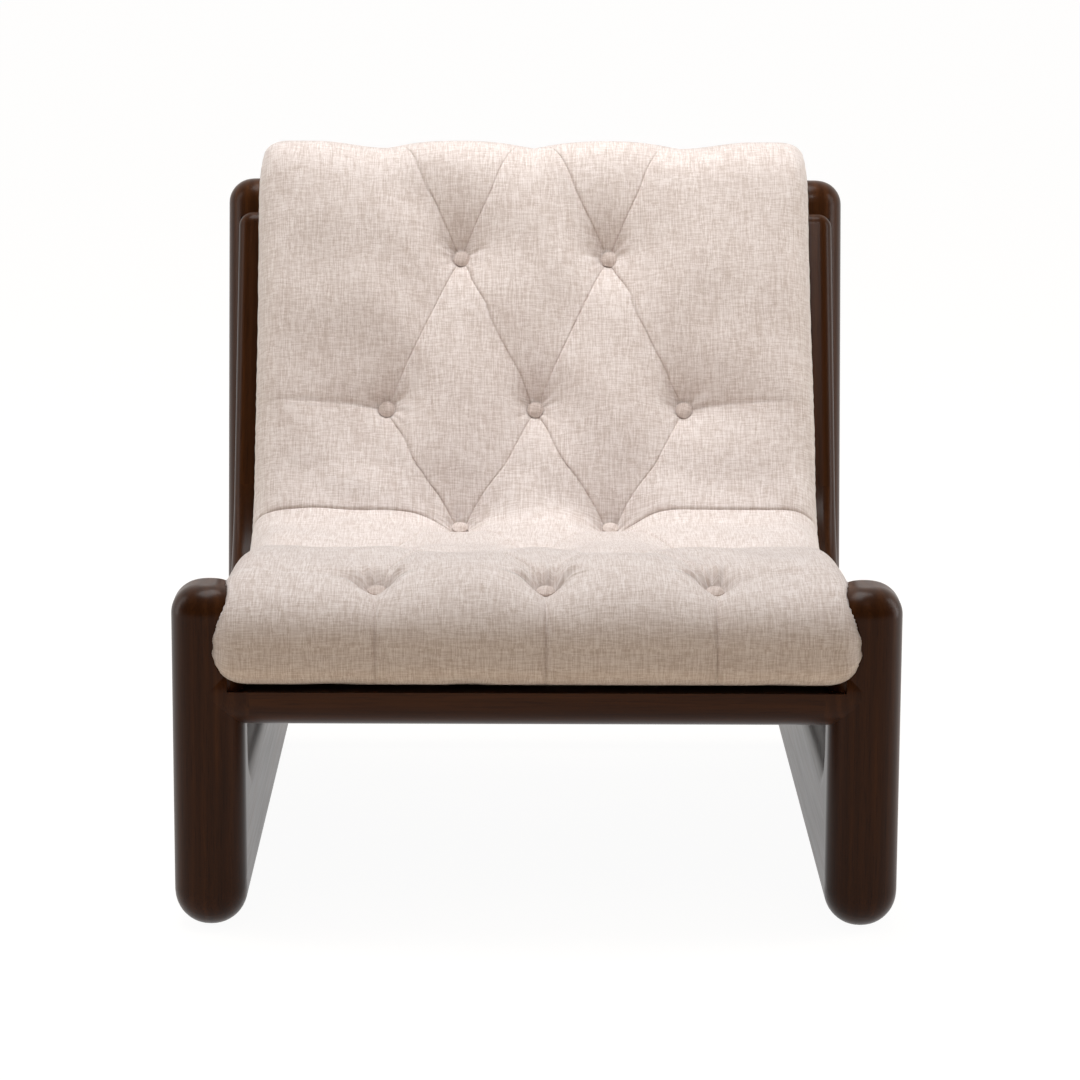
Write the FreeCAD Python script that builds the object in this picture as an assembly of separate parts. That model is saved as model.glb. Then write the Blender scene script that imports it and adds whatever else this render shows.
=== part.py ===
import FreeCAD
import Part
import math
import os

# Low lounge chair: two outer side frames of thick bullnosed wood, an inner
# seat-and-back frame with curved knees, and one long diamond-tufted cushion.
# Millimetres. X across, Y from front to back, Z up from the floor.
# The model is drawn with y = 0 at the front of the legs and is centred at the end.

V = FreeCAD.Vector

# Outer side frames
chair_width = 740.0
side_thickness = 74.0
member_round = 36.0
leg_depth = 92.0
leg_height = 356.5
leg_top_round = 29.0
toe_radius = 42.0
runner_height = 160.0
leg_inner_radius = 34.0
post_depth = 80.0
post_foot_y = 735.0
post_lean = 10.6
post_top_height = 681.0
post_inner_radius = 60.0
heel_radius = 60.0

# Front rail
rail_axis_height = 249.8
rail_depth = 78.0
rail_stub = 6.0
rail_rebate_drop = 6.4
rail_back_round = 8.0
rail_tenon_setback = 46.8

# Rear stretcher
stretcher_height = 64.0
stretcher_thickness = 28.0
stretcher_low_edge = 88.0
stretcher_round = 8.0

# Inner seat and back frame, drawn from the deck line that the cushion lies on
inner_thickness = 42.0
knee_centre_y = 506.7
knee_centre_z = 415.3
knee_radius = 200.0
seat_slope = 5.0
back_recline = 23.0
knee_depth = 62.0
seat_rail_front_depth = 55.0
stile_top_depth = 45.0
stile_length = 336.0
deck_edge_round = 15.0
far_edge_round = 6.0
stile_top_round = 17.0
knee_bedding = 5.0
housing_gap = 0.3
stile_housing_rise = 2.0

# Slats and cross rails
slat_width = 48.0
slat_thickness = 12.0
slat_pitch = 68.0
slat_end_gap = 5.0
slat_sink = 1.0
slat_housing = 9.0
slat_round = 3.0
knee_slat_turn = 21.0
cross_rail_width = 56.0
cross_rail_thickness = 28.0
cross_rail_round = 5.0
top_rail_margin = 10.0
fit_gap = 0.15

# Loose tenons
tenon_thickness = 12.0
tenon_width = 40.0
tenon_reach = 26.0
small_tenon_width = 30.0
tenon_flat = 1.0
tenon_gap = 0.1
mitre_tenon_shares = (0.25, 0.52)

# Bolts, washers and threaded inserts
bolt_radius = 4.0
bolt_head_radius = 6.5
bolt_head_height = 8.0
hex_key_size = 6.0
hex_key_depth = 4.0
bolt_hole_gap = 0.25
washer_radius = 9.0
washer_thickness = 1.6
counterbore_radius = 10.0
post_counterbore = 16.0
runner_counterbore = 24.0
insert_radius = 6.5
insert_length = 22.0
bolt_tip_clearance = 2.0
post_bolt_from_top = 42.0
runner_bolt_behind_knee = 20.0

# Felt floor pads
pad_width = 14.0
pad_length = 70.0
pad_thickness = 4.0
pad_stand_out = 0.6
pad_inset = 24.0

# Cushion form
cushion_side_inset = 8.0
cushion_height = 115.0
cushion_clearance = 0.3
button_depth = 27.0
button_column = 86.0
columns_each_side = 2
row_pitch = 173.0
front_row_before_knee = 443.0
front_row_drift = 9.0
front_row_depth = 21.0
rows_of_full_pitch = 4
top_row_rise = 8.0
front_roll_reach = 71.0
top_roll_start = 332.0
top_roll_reach = 65.0
seam_channel = 6.0
hollow_lost_at_edge = 0.55
roll_drawn_in_at_edge = 0.6
face_edge_round = 50.0
face_edge_stations = (1.0, 0.55, 0.25, 0.08, 0.0)
base_edge_round = 34.0
base_dip_rise = 70.0
leg_pocket_gap = 0.5

# Foam cores
core_side_gap = 14.0
core_base = 8.0
core_height = 70.0
core_front_past_row = 36.0
core_top_past_roll = 12.0
core_corner = 20.0
core_split_gap = 5.0
core_gap = 0.3

# Buttons, twine and anchors
button_radius = 9.3
button_rim = 3.0
button_dome = 3.6
button_socket_gap = 1.2
button_socket_depth = 4.0
front_button_tilt = 23.5
twine_radius = 1.0
twine_hole_gap = 0.5
anchor_radius = 9.0
anchor_thickness = 2.0
anchor_gap = 0.4

# Zip
zip_length = 470.0
zip_tape_width = 12.0
zip_tape_thickness = 1.0
zip_coil_width = 4.0
zip_coil_height = 1.2
zip_groove_gap = 0.3
slider_length = 11.0
slider_width = 7.0
slider_height = 1.6

# Working values
cut_past = 1.0
tolerance = 1e-3

# Derived places
outer_x = chair_width / 2
inner_x = outer_x - side_thickness
centre_x = outer_x - side_thickness / 2
frame_inner_x = centre_x - inner_thickness / 2
frame_outer_x = centre_x + inner_thickness / 2
rail_end_x = inner_x - rail_stub
lean = math.radians(post_lean)
slope = math.radians(seat_slope)
recline = math.radians(back_recline)
knee_start_angle = -slope
knee_end_angle = math.pi / 2 - recline
mid_offset = cushion_height / 2
mid_radius = knee_radius - mid_offset
knee_travel = mid_radius * (knee_end_angle - knee_start_angle)
cushion_half = centre_x - cushion_side_inset
core_half = inner_x - core_side_gap
core_top = core_base + core_height
front_row_travel = -knee_travel - front_row_before_knee


# Deck line and its frame
def deck_frame(travel):
    """Foot point on the deck line and the unit normal out of it.

    travel is measured along the middle of the cushion: zero where the back
    starts above the knee, positive up the back, negative towards the front.
    """
    if travel >= 0:
        angle = knee_end_angle
        run = travel
    elif travel >= -knee_travel:
        angle = knee_end_angle + travel / mid_radius
        run = 0.0
    else:
        angle = knee_start_angle
        run = travel + knee_travel
    foot_y = knee_centre_y + knee_radius * math.sin(angle) + run * math.cos(angle)
    foot_z = knee_centre_z - knee_radius * math.cos(angle) + run * math.sin(angle)
    return foot_y, foot_z, -math.sin(angle), math.cos(angle)


def deck_point(travel, height, x=0.0):
    foot_y, foot_z, normal_y, normal_z = deck_frame(travel)
    return V(x, foot_y + height * normal_y, foot_z + height * normal_z)


def deck_normal(travel):
    foot_y, foot_z, normal_y, normal_z = deck_frame(travel)
    return V(0, normal_y, normal_z)


def deck_run(begin, finish, height, x):
    """Edges along the deck, at a height over it, between two travels."""
    stops = [begin, finish]
    for bend in (-knee_travel, 0.0):
        if min(begin, finish) < bend < max(begin, finish):
            stops.append(bend)
    stops.sort(reverse=finish < begin)
    edges = []
    for here, after in zip(stops[:-1], stops[1:]):
        middle = (here + after) / 2
        points = [deck_point(travel, height, x) for travel in (here, middle, after)]
        if -knee_travel < middle < 0.0:
            edges.append(Part.Arc(points[0], points[1], points[2]).toShape())
        else:
            edges.append(Part.LineSegment(points[0], points[2]).toShape())
    return edges


def deck_travel_at(y):
    """Travel of the straight seat part where the deck line crosses a given y."""
    knee_start_y = knee_centre_y + knee_radius * math.sin(knee_start_angle)
    return (y - knee_start_y) / math.cos(slope) - knee_travel


# Shape helpers
def polygon_prism(points, x_low, x_high):
    """Prism along X from straight-sided (y, z) points."""
    corners = [V(x_low, y, z) for y, z in points]
    face = Part.Face(Part.makePolygon(corners + corners[:1]))
    return face.extrude(V(x_high - x_low, 0, 0))


def rounded_outline(corners, x):
    """Closed wire in a plane of constant x; each corner is (y, z, radius)."""
    count = len(corners)
    starts = []
    ends = []
    middles = []
    for i in range(count):
        here = V(x, corners[i][0], corners[i][1])
        before = V(x, corners[i - 1][0], corners[i - 1][1])
        after = V(x, corners[(i + 1) % count][0], corners[(i + 1) % count][1])
        radius = corners[i][2]
        back = (before - here).normalize()
        on = (after - here).normalize()
        half_angle = back.getAngle(on) / 2
        setback = radius / math.tan(half_angle)
        bisector = (back + on).normalize()
        starts.append(here + back * setback)
        ends.append(here + on * setback)
        middles.append(here + bisector * (radius / math.sin(half_angle) - radius))
    edges = []
    for i in range(count):
        if corners[i][2] > 0:
            edges.append(Part.Arc(starts[i], middles[i], ends[i]).toShape())
        edges.append(Part.LineSegment(ends[i], starts[(i + 1) % count]).toShape())
    return Part.Wire(edges)


def rounded_prism(corners, x_low, x_high):
    return Part.Face(rounded_outline(corners, x_low)).extrude(V(x_high - x_low, 0, 0))


def round_edges(shape, radius, wanted):
    """Fillet each edge whose middle point and box pass the test."""
    edges = []
    for edge in shape.Edges:
        middle = edge.valueAt((edge.FirstParameter + edge.LastParameter) / 2)
        if wanted(edge, middle):
            edges.append(edge)
    return shape.makeFillet(radius, edges)


def lies_at_x(edge, x):
    return abs(edge.BoundBox.XMin - x) < tolerance and abs(edge.BoundBox.XMax - x) < tolerance


def runs_along_x(edge):
    box = edge.BoundBox
    return box.XLength > tolerance and box.YLength < tolerance and box.ZLength < tolerance


def mirrored(shape):
    return shape.mirror(V(0, 0, 0), V(1, 0, 0))


def plank(travel, low, high, width, half_length, corner):
    """Straight board across the chair, lying on the deck frame at one travel."""
    foot_y, foot_z, normal_y, normal_z = deck_frame(travel)
    board = Part.makeBox(2 * half_length, width, high - low, V(-half_length, -width / 2, low))
    if corner > 0:
        board = round_edges(board, corner, lambda edge, middle: runs_along_x(edge))
    board.rotate(V(0, 0, 0), V(1, 0, 0), math.degrees(math.atan2(-normal_y, normal_z)))
    board.translate(V(0, foot_y, foot_z))
    return board


def rod(start, direction, length, radius):
    return Part.makeCylinder(radius, length, start, direction)


# Outer side frame
def post_front_y(z):
    return post_foot_y + z * math.tan(lean)


def post_back_y(z):
    return post_front_y(z) + post_depth / math.cos(lean)


def side_frame_blank():
    """Whole side frame in one piece: leg, runner and leaning post, all bullnosed."""
    top_front_y = post_front_y(post_top_height)
    top_back_y = top_front_y + post_depth * math.cos(lean)
    top_back_z = post_top_height - post_depth * math.sin(lean)
    corners = [
        (0.0, 0.0, toe_radius),
        (post_back_y(0.0), 0.0, heel_radius),
        (top_back_y, top_back_z, 0.0),
        (top_front_y, post_top_height, 0.0),
        (post_front_y(runner_height), runner_height, post_inner_radius),
        (leg_depth, runner_height, leg_inner_radius),
        (leg_depth, leg_height, 0.0),
        (0.0, leg_height, 0.0),
    ]
    blank = rounded_prism(corners, inner_x, outer_x)
    leg_cap = leg_height - tolerance
    post_cap = V(0, top_front_y, post_top_height)
    axis = V(0, math.sin(lean), math.cos(lean))

    def on_cap(middle):
        on_leg = middle.z > leg_cap and middle.y < leg_depth + tolerance
        return on_leg or (middle - post_cap).dot(axis) > -tolerance

    def long_edge(edge, middle):
        return (lies_at_x(edge, inner_x) or lies_at_x(edge, outer_x)) and not on_cap(middle)

    blank = round_edges(blank, member_round, long_edge)
    return round_edges(blank, leg_top_round, lambda edge, middle: on_cap(middle))


def mitre_cutter(inner_point, outer_point, reach):
    """Half space, as a big prism, on the front side of a mitre line."""
    line = V(0, outer_point[0] - inner_point[0], outer_point[1] - inner_point[1]).normalize()
    side = V(0, line.z, -line.y)
    if side.y > 0:
        side = side * -1
    start = V(0, inner_point[0], inner_point[1])
    points = [
        start + line * reach,
        start - line * reach,
        start - line * reach + side * reach,
        start + line * reach + side * reach,
    ]
    return polygon_prism([(p.y, p.z) for p in points], inner_x - cut_past, outer_x + cut_past)


def front_mitre():
    return (leg_depth, runner_height), (0.0, 0.0)


def rear_mitre():
    return (post_front_y(runner_height), runner_height), (post_back_y(0.0), 0.0)


def rail_outline(grow=0.0):
    """Full bullnose section of the front rail, before its rebate."""
    half = side_thickness / 2 + grow
    low = rail_axis_height - half
    high = rail_axis_height + half
    nose = member_round + grow
    return [
        (-grow, low, nose),
        (rail_depth + grow, low, rail_back_round),
        (rail_depth + grow, high, rail_back_round),
        (-grow, high, nose),
    ]


def rebate_cutter(x_low, x_high):
    """Everything above the rebate floor, which runs parallel to the deck."""
    front = deck_point(deck_travel_at(-side_thickness), -rail_rebate_drop)
    back = deck_point(deck_travel_at(leg_depth + side_thickness), -rail_rebate_drop)
    top = leg_height + side_thickness
    points = [(front.y, front.z), (back.y, back.z), (back.y, top), (front.y, top)]
    return polygon_prism(points, x_low, x_high)


def rail_stub_shape(grow=0.0):
    """Short rail end shaped on the leg: full height outside, rebated inside."""
    tall = rounded_prism(rail_outline(grow), frame_inner_x - grow, centre_x)
    low = rounded_prism(rail_outline(grow), rail_end_x - grow, frame_inner_x + cut_past)
    low = low.cut(rebate_cutter(rail_end_x - grow - cut_past, frame_inner_x + 2 * cut_past))
    return tall.fuse(low)


def leg_column(grow):
    """Leg column alone, grown on every side, for the pocket in the cushion."""
    low = rail_axis_height - side_thickness
    block = Part.makeBox(
        side_thickness + 2 * grow,
        leg_depth + 2 * grow,
        leg_height + grow - low,
        V(inner_x - grow, -grow, low),
    )
    block = round_edges(block, member_round + grow, lambda edge, middle: edge.BoundBox.ZLength > leg_depth)
    top = leg_height + grow - tolerance
    return round_edges(block, leg_top_round + grow, lambda edge, middle: middle.z > top)


# Inner frame pieces
def member_outline(travels_and_depths):
    """Outline in (y, z) of a straight member: deck side out, far side back."""
    near = [deck_point(travel, 0.0) for travel, depth in travels_and_depths]
    far = [deck_point(travel, -depth) for travel, depth in reversed(travels_and_depths)]
    return [(p.y, p.z) for p in near + far]


def seat_rail_blank():
    front = deck_travel_at(leg_depth)
    low_front = deck_point(front, 0.0)
    points = member_outline([(front, seat_rail_front_depth), (-knee_travel, knee_depth)])
    points[0] = (leg_depth, low_front.z)
    points[3] = (leg_depth, points[3][1])
    blank = polygon_prism(points, frame_inner_x, frame_outer_x)
    return round_member(blank, (front - knee_travel) / 2)


def stile_blank():
    """Tapered stile; its top corners are rounded first, so the edges run over them."""
    points = member_outline([(0.0, knee_depth), (stile_length, stile_top_depth)])
    blank = polygon_prism(points, frame_inner_x, frame_outer_x)
    top = deck_point(stile_length, 0.0)
    along = V(0, math.sin(recline), math.cos(recline))

    def top_corner(edge, middle):
        at_side = lies_at_x(edge, frame_outer_x) or lies_at_x(edge, frame_inner_x)
        return at_side and abs((middle - top).dot(along)) < tolerance

    blank = round_edges(blank, stile_top_round, top_corner)
    return round_member(blank, stile_length / 2)


def round_member(blank, travel):
    """Round a straight member: wide on the deck side, small on the far side."""
    foot_y, foot_z, normal_y, normal_z = deck_frame(travel)
    foot = V(0, foot_y, foot_z)
    normal = V(0, normal_y, normal_z)

    def on_deck(middle):
        return abs((middle - foot).dot(normal)) < tolerance

    def at_side(edge):
        return lies_at_x(edge, frame_outer_x) or lies_at_x(edge, frame_inner_x)

    def long_edge(edge):
        ends = [vertex.Point for vertex in edge.Vertexes]
        return abs((ends[0] - ends[-1]).dot(normal)) < edge.Length / 2

    def deck_long(edge, middle):
        return at_side(edge) and long_edge(edge) and on_deck(middle)

    def far_long(edge, middle):
        return at_side(edge) and long_edge(edge) and not on_deck(middle)

    blank = round_edges(blank, far_edge_round, far_long)
    return round_edges(blank, deck_edge_round, deck_long)


def knee_blank():
    """Quarter-like bent piece between seat rail and stile, bedded on the runner."""
    middle_angle = (knee_start_angle + knee_end_angle) / 2

    def at(angle, radius):
        return V(
            frame_inner_x,
            knee_centre_y + radius * math.sin(angle),
            knee_centre_z - radius * math.cos(angle),
        )

    far = knee_radius + knee_depth
    inner_arc = Part.Arc(
        at(knee_start_angle, knee_radius), at(middle_angle, knee_radius), at(knee_end_angle, knee_radius)
    ).toShape()
    outer_arc = Part.Arc(at(knee_end_angle, far), at(middle_angle, far), at(knee_start_angle, far)).toShape()
    back_end = Part.LineSegment(at(knee_end_angle, knee_radius), at(knee_end_angle, far)).toShape()
    front_end = Part.LineSegment(at(knee_start_angle, far), at(knee_start_angle, knee_radius)).toShape()
    wire = Part.Wire([inner_arc, back_end, outer_arc, front_end])
    blank = Part.Face(wire).extrude(V(inner_thickness, 0, 0))

    def arc_of(edge, radius):
        curve = edge.Curve
        return isinstance(curve, Part.Circle) and abs(curve.Radius - radius) < tolerance

    blank = round_edges(blank, deck_edge_round, lambda edge, middle: arc_of(edge, knee_radius))
    blank = round_edges(blank, far_edge_round, lambda edge, middle: arc_of(edge, far))
    below = Part.makeBox(
        2 * side_thickness,
        2 * far,
        runner_height,
        V(frame_inner_x - cut_past, knee_centre_y - far, -knee_bedding),
    )
    return blank.cut(below)


def knee_housing():
    """Pocket in the runner's crest that the knee beds in."""
    half_sink = math.sqrt((knee_radius + knee_depth) ** 2 - (knee_centre_z - runner_height) ** 2)
    return Part.makeBox(
        inner_thickness + 2 * housing_gap,
        2 * (half_sink + housing_gap),
        side_thickness,
        V(
            frame_inner_x - housing_gap,
            knee_centre_y - half_sink - housing_gap,
            runner_height - knee_bedding,
        ),
    )


def stile_housing():
    """Slot in the front of the post that the stile's upper end is let into."""
    end = stile_length + stile_housing_rise
    near_low = deck_point(0.0, 0.0)
    near_high = deck_point(end, 0.0)
    taper = (knee_depth - stile_top_depth) / stile_length
    far_high = deck_point(end, -(stile_top_depth - taper * stile_housing_rise))
    far_low = deck_point(0.0, -knee_depth)
    points = [(p.y, p.z) for p in (near_low, near_high, far_high, far_low)]
    return polygon_prism(points, frame_inner_x - housing_gap, frame_outer_x + housing_gap)


# Slats and cross rails
def slat_steps(room):
    """Distances of the slats from one end of a straight run, half a pitch to the first."""
    count = int((room - slat_end_gap - slat_width / 2) / slat_pitch + 0.5)
    return [slat_pitch * (i + 0.5) for i in range(count)]


def seat_slat_travels():
    room = -knee_travel - deck_travel_at(leg_depth)
    return [-knee_travel - step for step in slat_steps(room)]


def knee_slat_travels():
    middle = -knee_travel / 2
    step = math.radians(knee_slat_turn) * mid_radius
    return [middle - step, middle + step]


def top_rail_travel():
    return stile_length - top_rail_margin - cross_rail_width / 2


def back_slat_travels():
    return slat_steps(top_rail_travel() - cross_rail_width / 2)


def slat(travel, grow=0.0):
    half_length = frame_inner_x + slat_housing + grow
    corner = slat_round if grow == 0 else 0.0
    low = -slat_sink - slat_thickness
    high = -slat_sink if grow == 0 else slat_thickness
    return plank(travel, low - grow, high, slat_width + 2 * grow, half_length, corner)


def cross_rail(travel, grow=0.0):
    half_length = frame_inner_x + slat_housing + grow
    corner = cross_rail_round if grow == 0 else 0.0
    low = -slat_sink - cross_rail_thickness
    high = -slat_sink if grow == 0 else slat_thickness
    return plank(travel, low - grow, high, cross_rail_width + 2 * grow, half_length, corner)


def slat_cutters(travels):
    return [slat(travel, fit_gap) for travel in travels]


# Tenons
def tenon_at(place, width, reach, grow=0.0):
    """Loose tenon with rounded long edges, centred on a joint and square to it."""
    middle, along = place
    length = 2 * (reach + grow)
    thickness = tenon_thickness + 2 * grow
    wide = width + 2 * grow
    block = Part.makeBox(thickness, wide, length, V(-thickness / 2, -wide / 2, -length / 2))
    corner = (thickness - tenon_flat) / 2
    block = round_edges(block, corner, lambda edge, middle: edge.BoundBox.ZLength > length / 2)
    angle = math.degrees(math.atan2(-along.y, along.z))
    block.rotate(V(0, 0, 0), V(1, 0, 0), angle)
    block.translate(middle)
    return block


def mitre_tenon_places():
    """Middle and direction of the two tenons across each mitre of a side frame."""
    places = []
    for inner_point, outer_point in (front_mitre(), rear_mitre()):
        inner = V(centre_x, inner_point[0], inner_point[1])
        outer = V(centre_x, outer_point[0], outer_point[1])
        line = (outer - inner).normalize()
        span = (outer - inner).Length
        for share in mitre_tenon_shares:
            places.append((inner + line * span * share, V(0, -line.z, line.y)))
    return places


def frame_joint_tenon_places():
    """Middle and direction of the tenon in each joint of the inner frame."""
    front = deck_travel_at(leg_depth)
    places = []
    for travel, depth in ((-knee_travel, knee_depth), (0.0, knee_depth)):
        foot_y, foot_z, normal_y, normal_z = deck_frame(travel)
        middle = deck_point(travel, -depth / 2 - tenon_gap, centre_x)
        places.append((middle, V(0, normal_z, -normal_y)))
    middle = deck_point(front, -seat_rail_front_depth / 2, centre_x)
    places.append((middle, V(0, 1, 0)))
    return places


def cross_tenon(y, z, x, turn, grow=0.0):
    """Tenon that runs across the chair into a leg or post."""
    length = 2 * (tenon_reach + grow)
    thickness = tenon_thickness + 2 * grow
    wide = small_tenon_width + 2 * grow
    block = Part.makeBox(length, thickness, wide, V(-length / 2, -thickness / 2, -wide / 2))
    corner = (thickness - tenon_flat) / 2
    block = round_edges(block, corner, lambda edge, middle: edge.BoundBox.XLength > length / 2)
    block.rotate(V(0, 0, 0), V(1, 0, 0), turn)
    block.translate(V(x, y, z))
    return block


def rail_tenon(grow=0.0):
    """Flat tenon half way up the rail, under its rebate and behind its nose."""
    lowest = rail_axis_height - side_thickness / 2
    floor = deck_point(deck_travel_at(rail_tenon_setback), -rail_rebate_drop).z
    return cross_tenon(rail_tenon_setback, (lowest + floor) / 2, rail_end_x, 90.0, grow)


def stretcher_centre():
    z = stretcher_low_edge + stretcher_height / 2
    return (post_front_y(z) + post_back_y(z)) / 2, z


def stretcher_tenon(grow=0.0):
    y, z = stretcher_centre()
    return cross_tenon(y, z, inner_x, -post_lean, grow)


# Bolts
def post_bolt_line():
    """Seat of the post bolt's head, its direction forwards, and its grip."""
    travel = stile_length - post_bolt_from_top
    foot_y, foot_z, normal_y, normal_z = deck_frame(travel)
    run = post_back_y(foot_z) - foot_y
    to_back = run / (-normal_y + normal_z * math.tan(lean))
    taper = (knee_depth - stile_top_depth) * post_bolt_from_top / stile_length
    stile_back = stile_top_depth + taper
    seat_height = -to_back + post_counterbore
    seat = deck_point(travel, seat_height, centre_x)
    return seat, V(0, normal_y, normal_z), -seat_height - stile_back


def runner_bolt_line():
    seat = V(centre_x, knee_centre_y + runner_bolt_behind_knee, runner_counterbore)
    return seat, V(0, 0, 1), runner_height - knee_bedding - runner_counterbore


def bolt(line):
    """Socket-head bolt from its washer to the far end of its insert."""
    seat, direction, grip = line
    head_seat = seat - direction * washer_thickness
    shank_length = washer_thickness + grip + insert_length - bolt_tip_clearance
    shank = rod(head_seat, direction, shank_length, bolt_radius)
    head = rod(head_seat - direction * bolt_head_height, direction, bolt_head_height, bolt_head_radius)
    across = hex_key_size / math.sqrt(3)
    turns = [i * math.pi / 3 for i in range(7)]
    hexagon = Part.makePolygon([V(across * math.cos(turn), across * math.sin(turn), 0) for turn in turns])
    key = Part.Face(hexagon).extrude(V(0, 0, hex_key_depth))
    key.rotate(V(0, 0, 0), V(1, 0, 0), math.degrees(math.atan2(-direction.y, direction.z)))
    key.translate(head_seat - direction * bolt_head_height)
    return head.fuse(shank).removeSplitter().cut(key)


def washer(line):
    seat, direction, grip = line
    start = seat - direction * washer_thickness
    disc = rod(start, direction, washer_thickness, washer_radius)
    return disc.cut(rod(start, direction, washer_thickness, bolt_radius + bolt_hole_gap))


def insert(line):
    seat, direction, grip = line
    start = seat + direction * grip
    sleeve = rod(start, direction, insert_length, insert_radius)
    return sleeve.cut(rod(start, direction, insert_length, bolt_radius + bolt_hole_gap))


def bolt_cutter(line):
    """Counterbore and clearance hole through the outer member."""
    seat, direction, grip = line
    outwards = rod(seat - direction * side_thickness, direction, side_thickness, counterbore_radius)
    hole = rod(seat, direction, grip, bolt_radius + bolt_hole_gap)
    return outwards.fuse(hole)


def insert_cutter(line):
    seat, direction, grip = line
    return rod(seat + direction * grip, direction, insert_length, insert_radius)


# Felt pads
def pad_starts():
    front = toe_radius + pad_inset
    rear = post_back_y(0.0) - heel_radius - pad_inset - pad_length
    return [front, rear]


def pad(start_y, grow=0.0):
    return Part.makeBox(
        pad_width + 2 * grow,
        pad_length + 2 * grow,
        pad_thickness,
        V(centre_x - pad_width / 2 - grow, start_y - grow, 0.0),
    )


# Side frame pieces
def side_frame_pieces():
    """Right-hand leg, runner and post."""
    blank = side_frame_blank()
    reach = 2 * post_back_y(post_top_height)
    ahead_of_front = mitre_cutter(*front_mitre(), reach)
    ahead_of_rear = mitre_cutter(*rear_mitre(), reach)
    leg = blank.common(ahead_of_front).fuse(rail_stub_shape())
    runner = blank.common(ahead_of_rear).cut(ahead_of_front)
    post = blank.cut(ahead_of_rear)
    for place in mitre_tenon_places():
        mortise = tenon_at(place, tenon_width, tenon_reach, tenon_gap)
        leg = leg.cut(mortise)
        runner = runner.cut(mortise)
        post = post.cut(mortise)
    leg = leg.cut(rail_tenon(tenon_gap))
    leg = leg.cut(tenon_at(frame_joint_tenon_places()[-1], small_tenon_width, tenon_reach, tenon_gap))
    post = post.cut(stretcher_tenon(tenon_gap))
    runner = runner.cut(stretcher_tenon(tenon_gap))
    post = post.cut(stile_housing())
    post = post.cut(bolt_cutter(post_bolt_line()))
    runner = runner.cut(knee_housing())
    runner = runner.cut(bolt_cutter(runner_bolt_line()))
    for start_y in pad_starts():
        slot = pad(start_y, fit_gap)
        leg = leg.cut(slot)
        runner = runner.cut(slot)
        post = post.cut(slot)
    return leg, runner, post


def front_rail():
    bar = rounded_prism(rail_outline(), -rail_end_x, rail_end_x)
    bar = bar.cut(rebate_cutter(-rail_end_x - cut_past, rail_end_x + cut_past))
    tenon = rail_tenon(tenon_gap)
    return bar.cut(tenon).cut(mirrored(tenon))


def rear_stretcher():
    y, z = stretcher_centre()
    bar = Part.makeBox(
        2 * inner_x,
        stretcher_thickness,
        stretcher_height,
        V(-inner_x, -stretcher_thickness / 2, -stretcher_height / 2),
    )
    bar = round_edges(bar, stretcher_round, lambda edge, middle: runs_along_x(edge))
    bar.rotate(V(0, 0, 0), V(1, 0, 0), -post_lean)
    bar.translate(V(0, y, z))
    tenon = stretcher_tenon(tenon_gap)
    return bar.cut(tenon).cut(mirrored(tenon))


def inner_frame_pieces():
    """Right-hand seat rail, knee and stile, with their housings and mortises."""
    rail = seat_rail_blank()
    knee = knee_blank()
    stile = stile_blank()
    places = frame_joint_tenon_places()
    for place in places:
        mortise = tenon_at(place, small_tenon_width, tenon_reach, tenon_gap)
        rail = rail.cut(mortise)
        knee = knee.cut(mortise)
        stile = stile.cut(mortise)
    for cutter in slat_cutters(seat_slat_travels()):
        rail = rail.cut(cutter)
    for cutter in slat_cutters(knee_slat_travels()) + [cross_rail(-knee_travel / 2, fit_gap)]:
        knee = knee.cut(cutter)
    for cutter in slat_cutters(back_slat_travels()) + [cross_rail(top_rail_travel(), fit_gap)]:
        stile = stile.cut(cutter)
    knee = knee.cut(insert_cutter(runner_bolt_line()))
    stile = stile.cut(insert_cutter(post_bolt_line()))
    return rail, knee, stile


# Cushion
def row_travel(row):
    """Travel of a row of buttons; row 0 is the front row, and the top row stands a little higher."""
    return front_row_travel + row * row_pitch + top_row_rise * max(row - rows_of_full_pitch, 0)


def row_at(travel):
    row = (travel - front_row_travel) / row_pitch
    if row <= rows_of_full_pitch:
        return row
    past = travel - row_travel(rows_of_full_pitch)
    return rows_of_full_pitch + past / (row_pitch + top_row_rise)


def crease_row():
    """The row of buttons in the crease, the last one below the start of the back."""
    return int(row_at(0.0))


def last_button_row():
    return int(row_at(top_roll_start))


def tuft_height(column, row):
    """Share of the full crown, zero at a button and one half way between buttons."""
    wave = (1 - math.cos(math.pi * column) * math.cos(math.pi * row)) / 2
    return math.sqrt(max(wave, 0.0))


def row_drift(row):
    """Sideways drift of the hand-set front row, gone by the next row."""
    return front_row_drift * max(1.0 - row, 0.0)


def row_depth(row):
    """Depth of the tufts, shallower in the front row."""
    return front_row_depth + (button_depth - front_row_depth) * min(row, 1.0)


def column_share(x, row):
    """Tuft pattern across the chair; outside the last column it fades out."""
    return min(abs(x - row_drift(row)) / button_column, float(columns_each_side))


def edge_fade(x):
    """How much of a row's hollow is left between the last column and the edge."""
    last = columns_each_side * button_column
    if abs(x) <= last:
        return 1.0
    return 1.0 - hollow_lost_at_edge * (abs(x) - last) / (cushion_half - last)


def edge_drop(x, radius):
    """Drop of a rounded edge of the given radius at distance x from the middle."""
    inside = cushion_half - abs(x)
    if inside >= radius:
        return 0.0
    return radius - math.sqrt(radius ** 2 - (radius - inside) ** 2)


def face_height(x, row):
    hollow = row_depth(row) * (1 - tuft_height(column_share(x, row), row)) * edge_fade(x)
    return cushion_height - hollow - edge_drop(x, face_edge_round)


def base_height(x):
    return cushion_clearance + edge_drop(x, base_edge_round)


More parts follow.
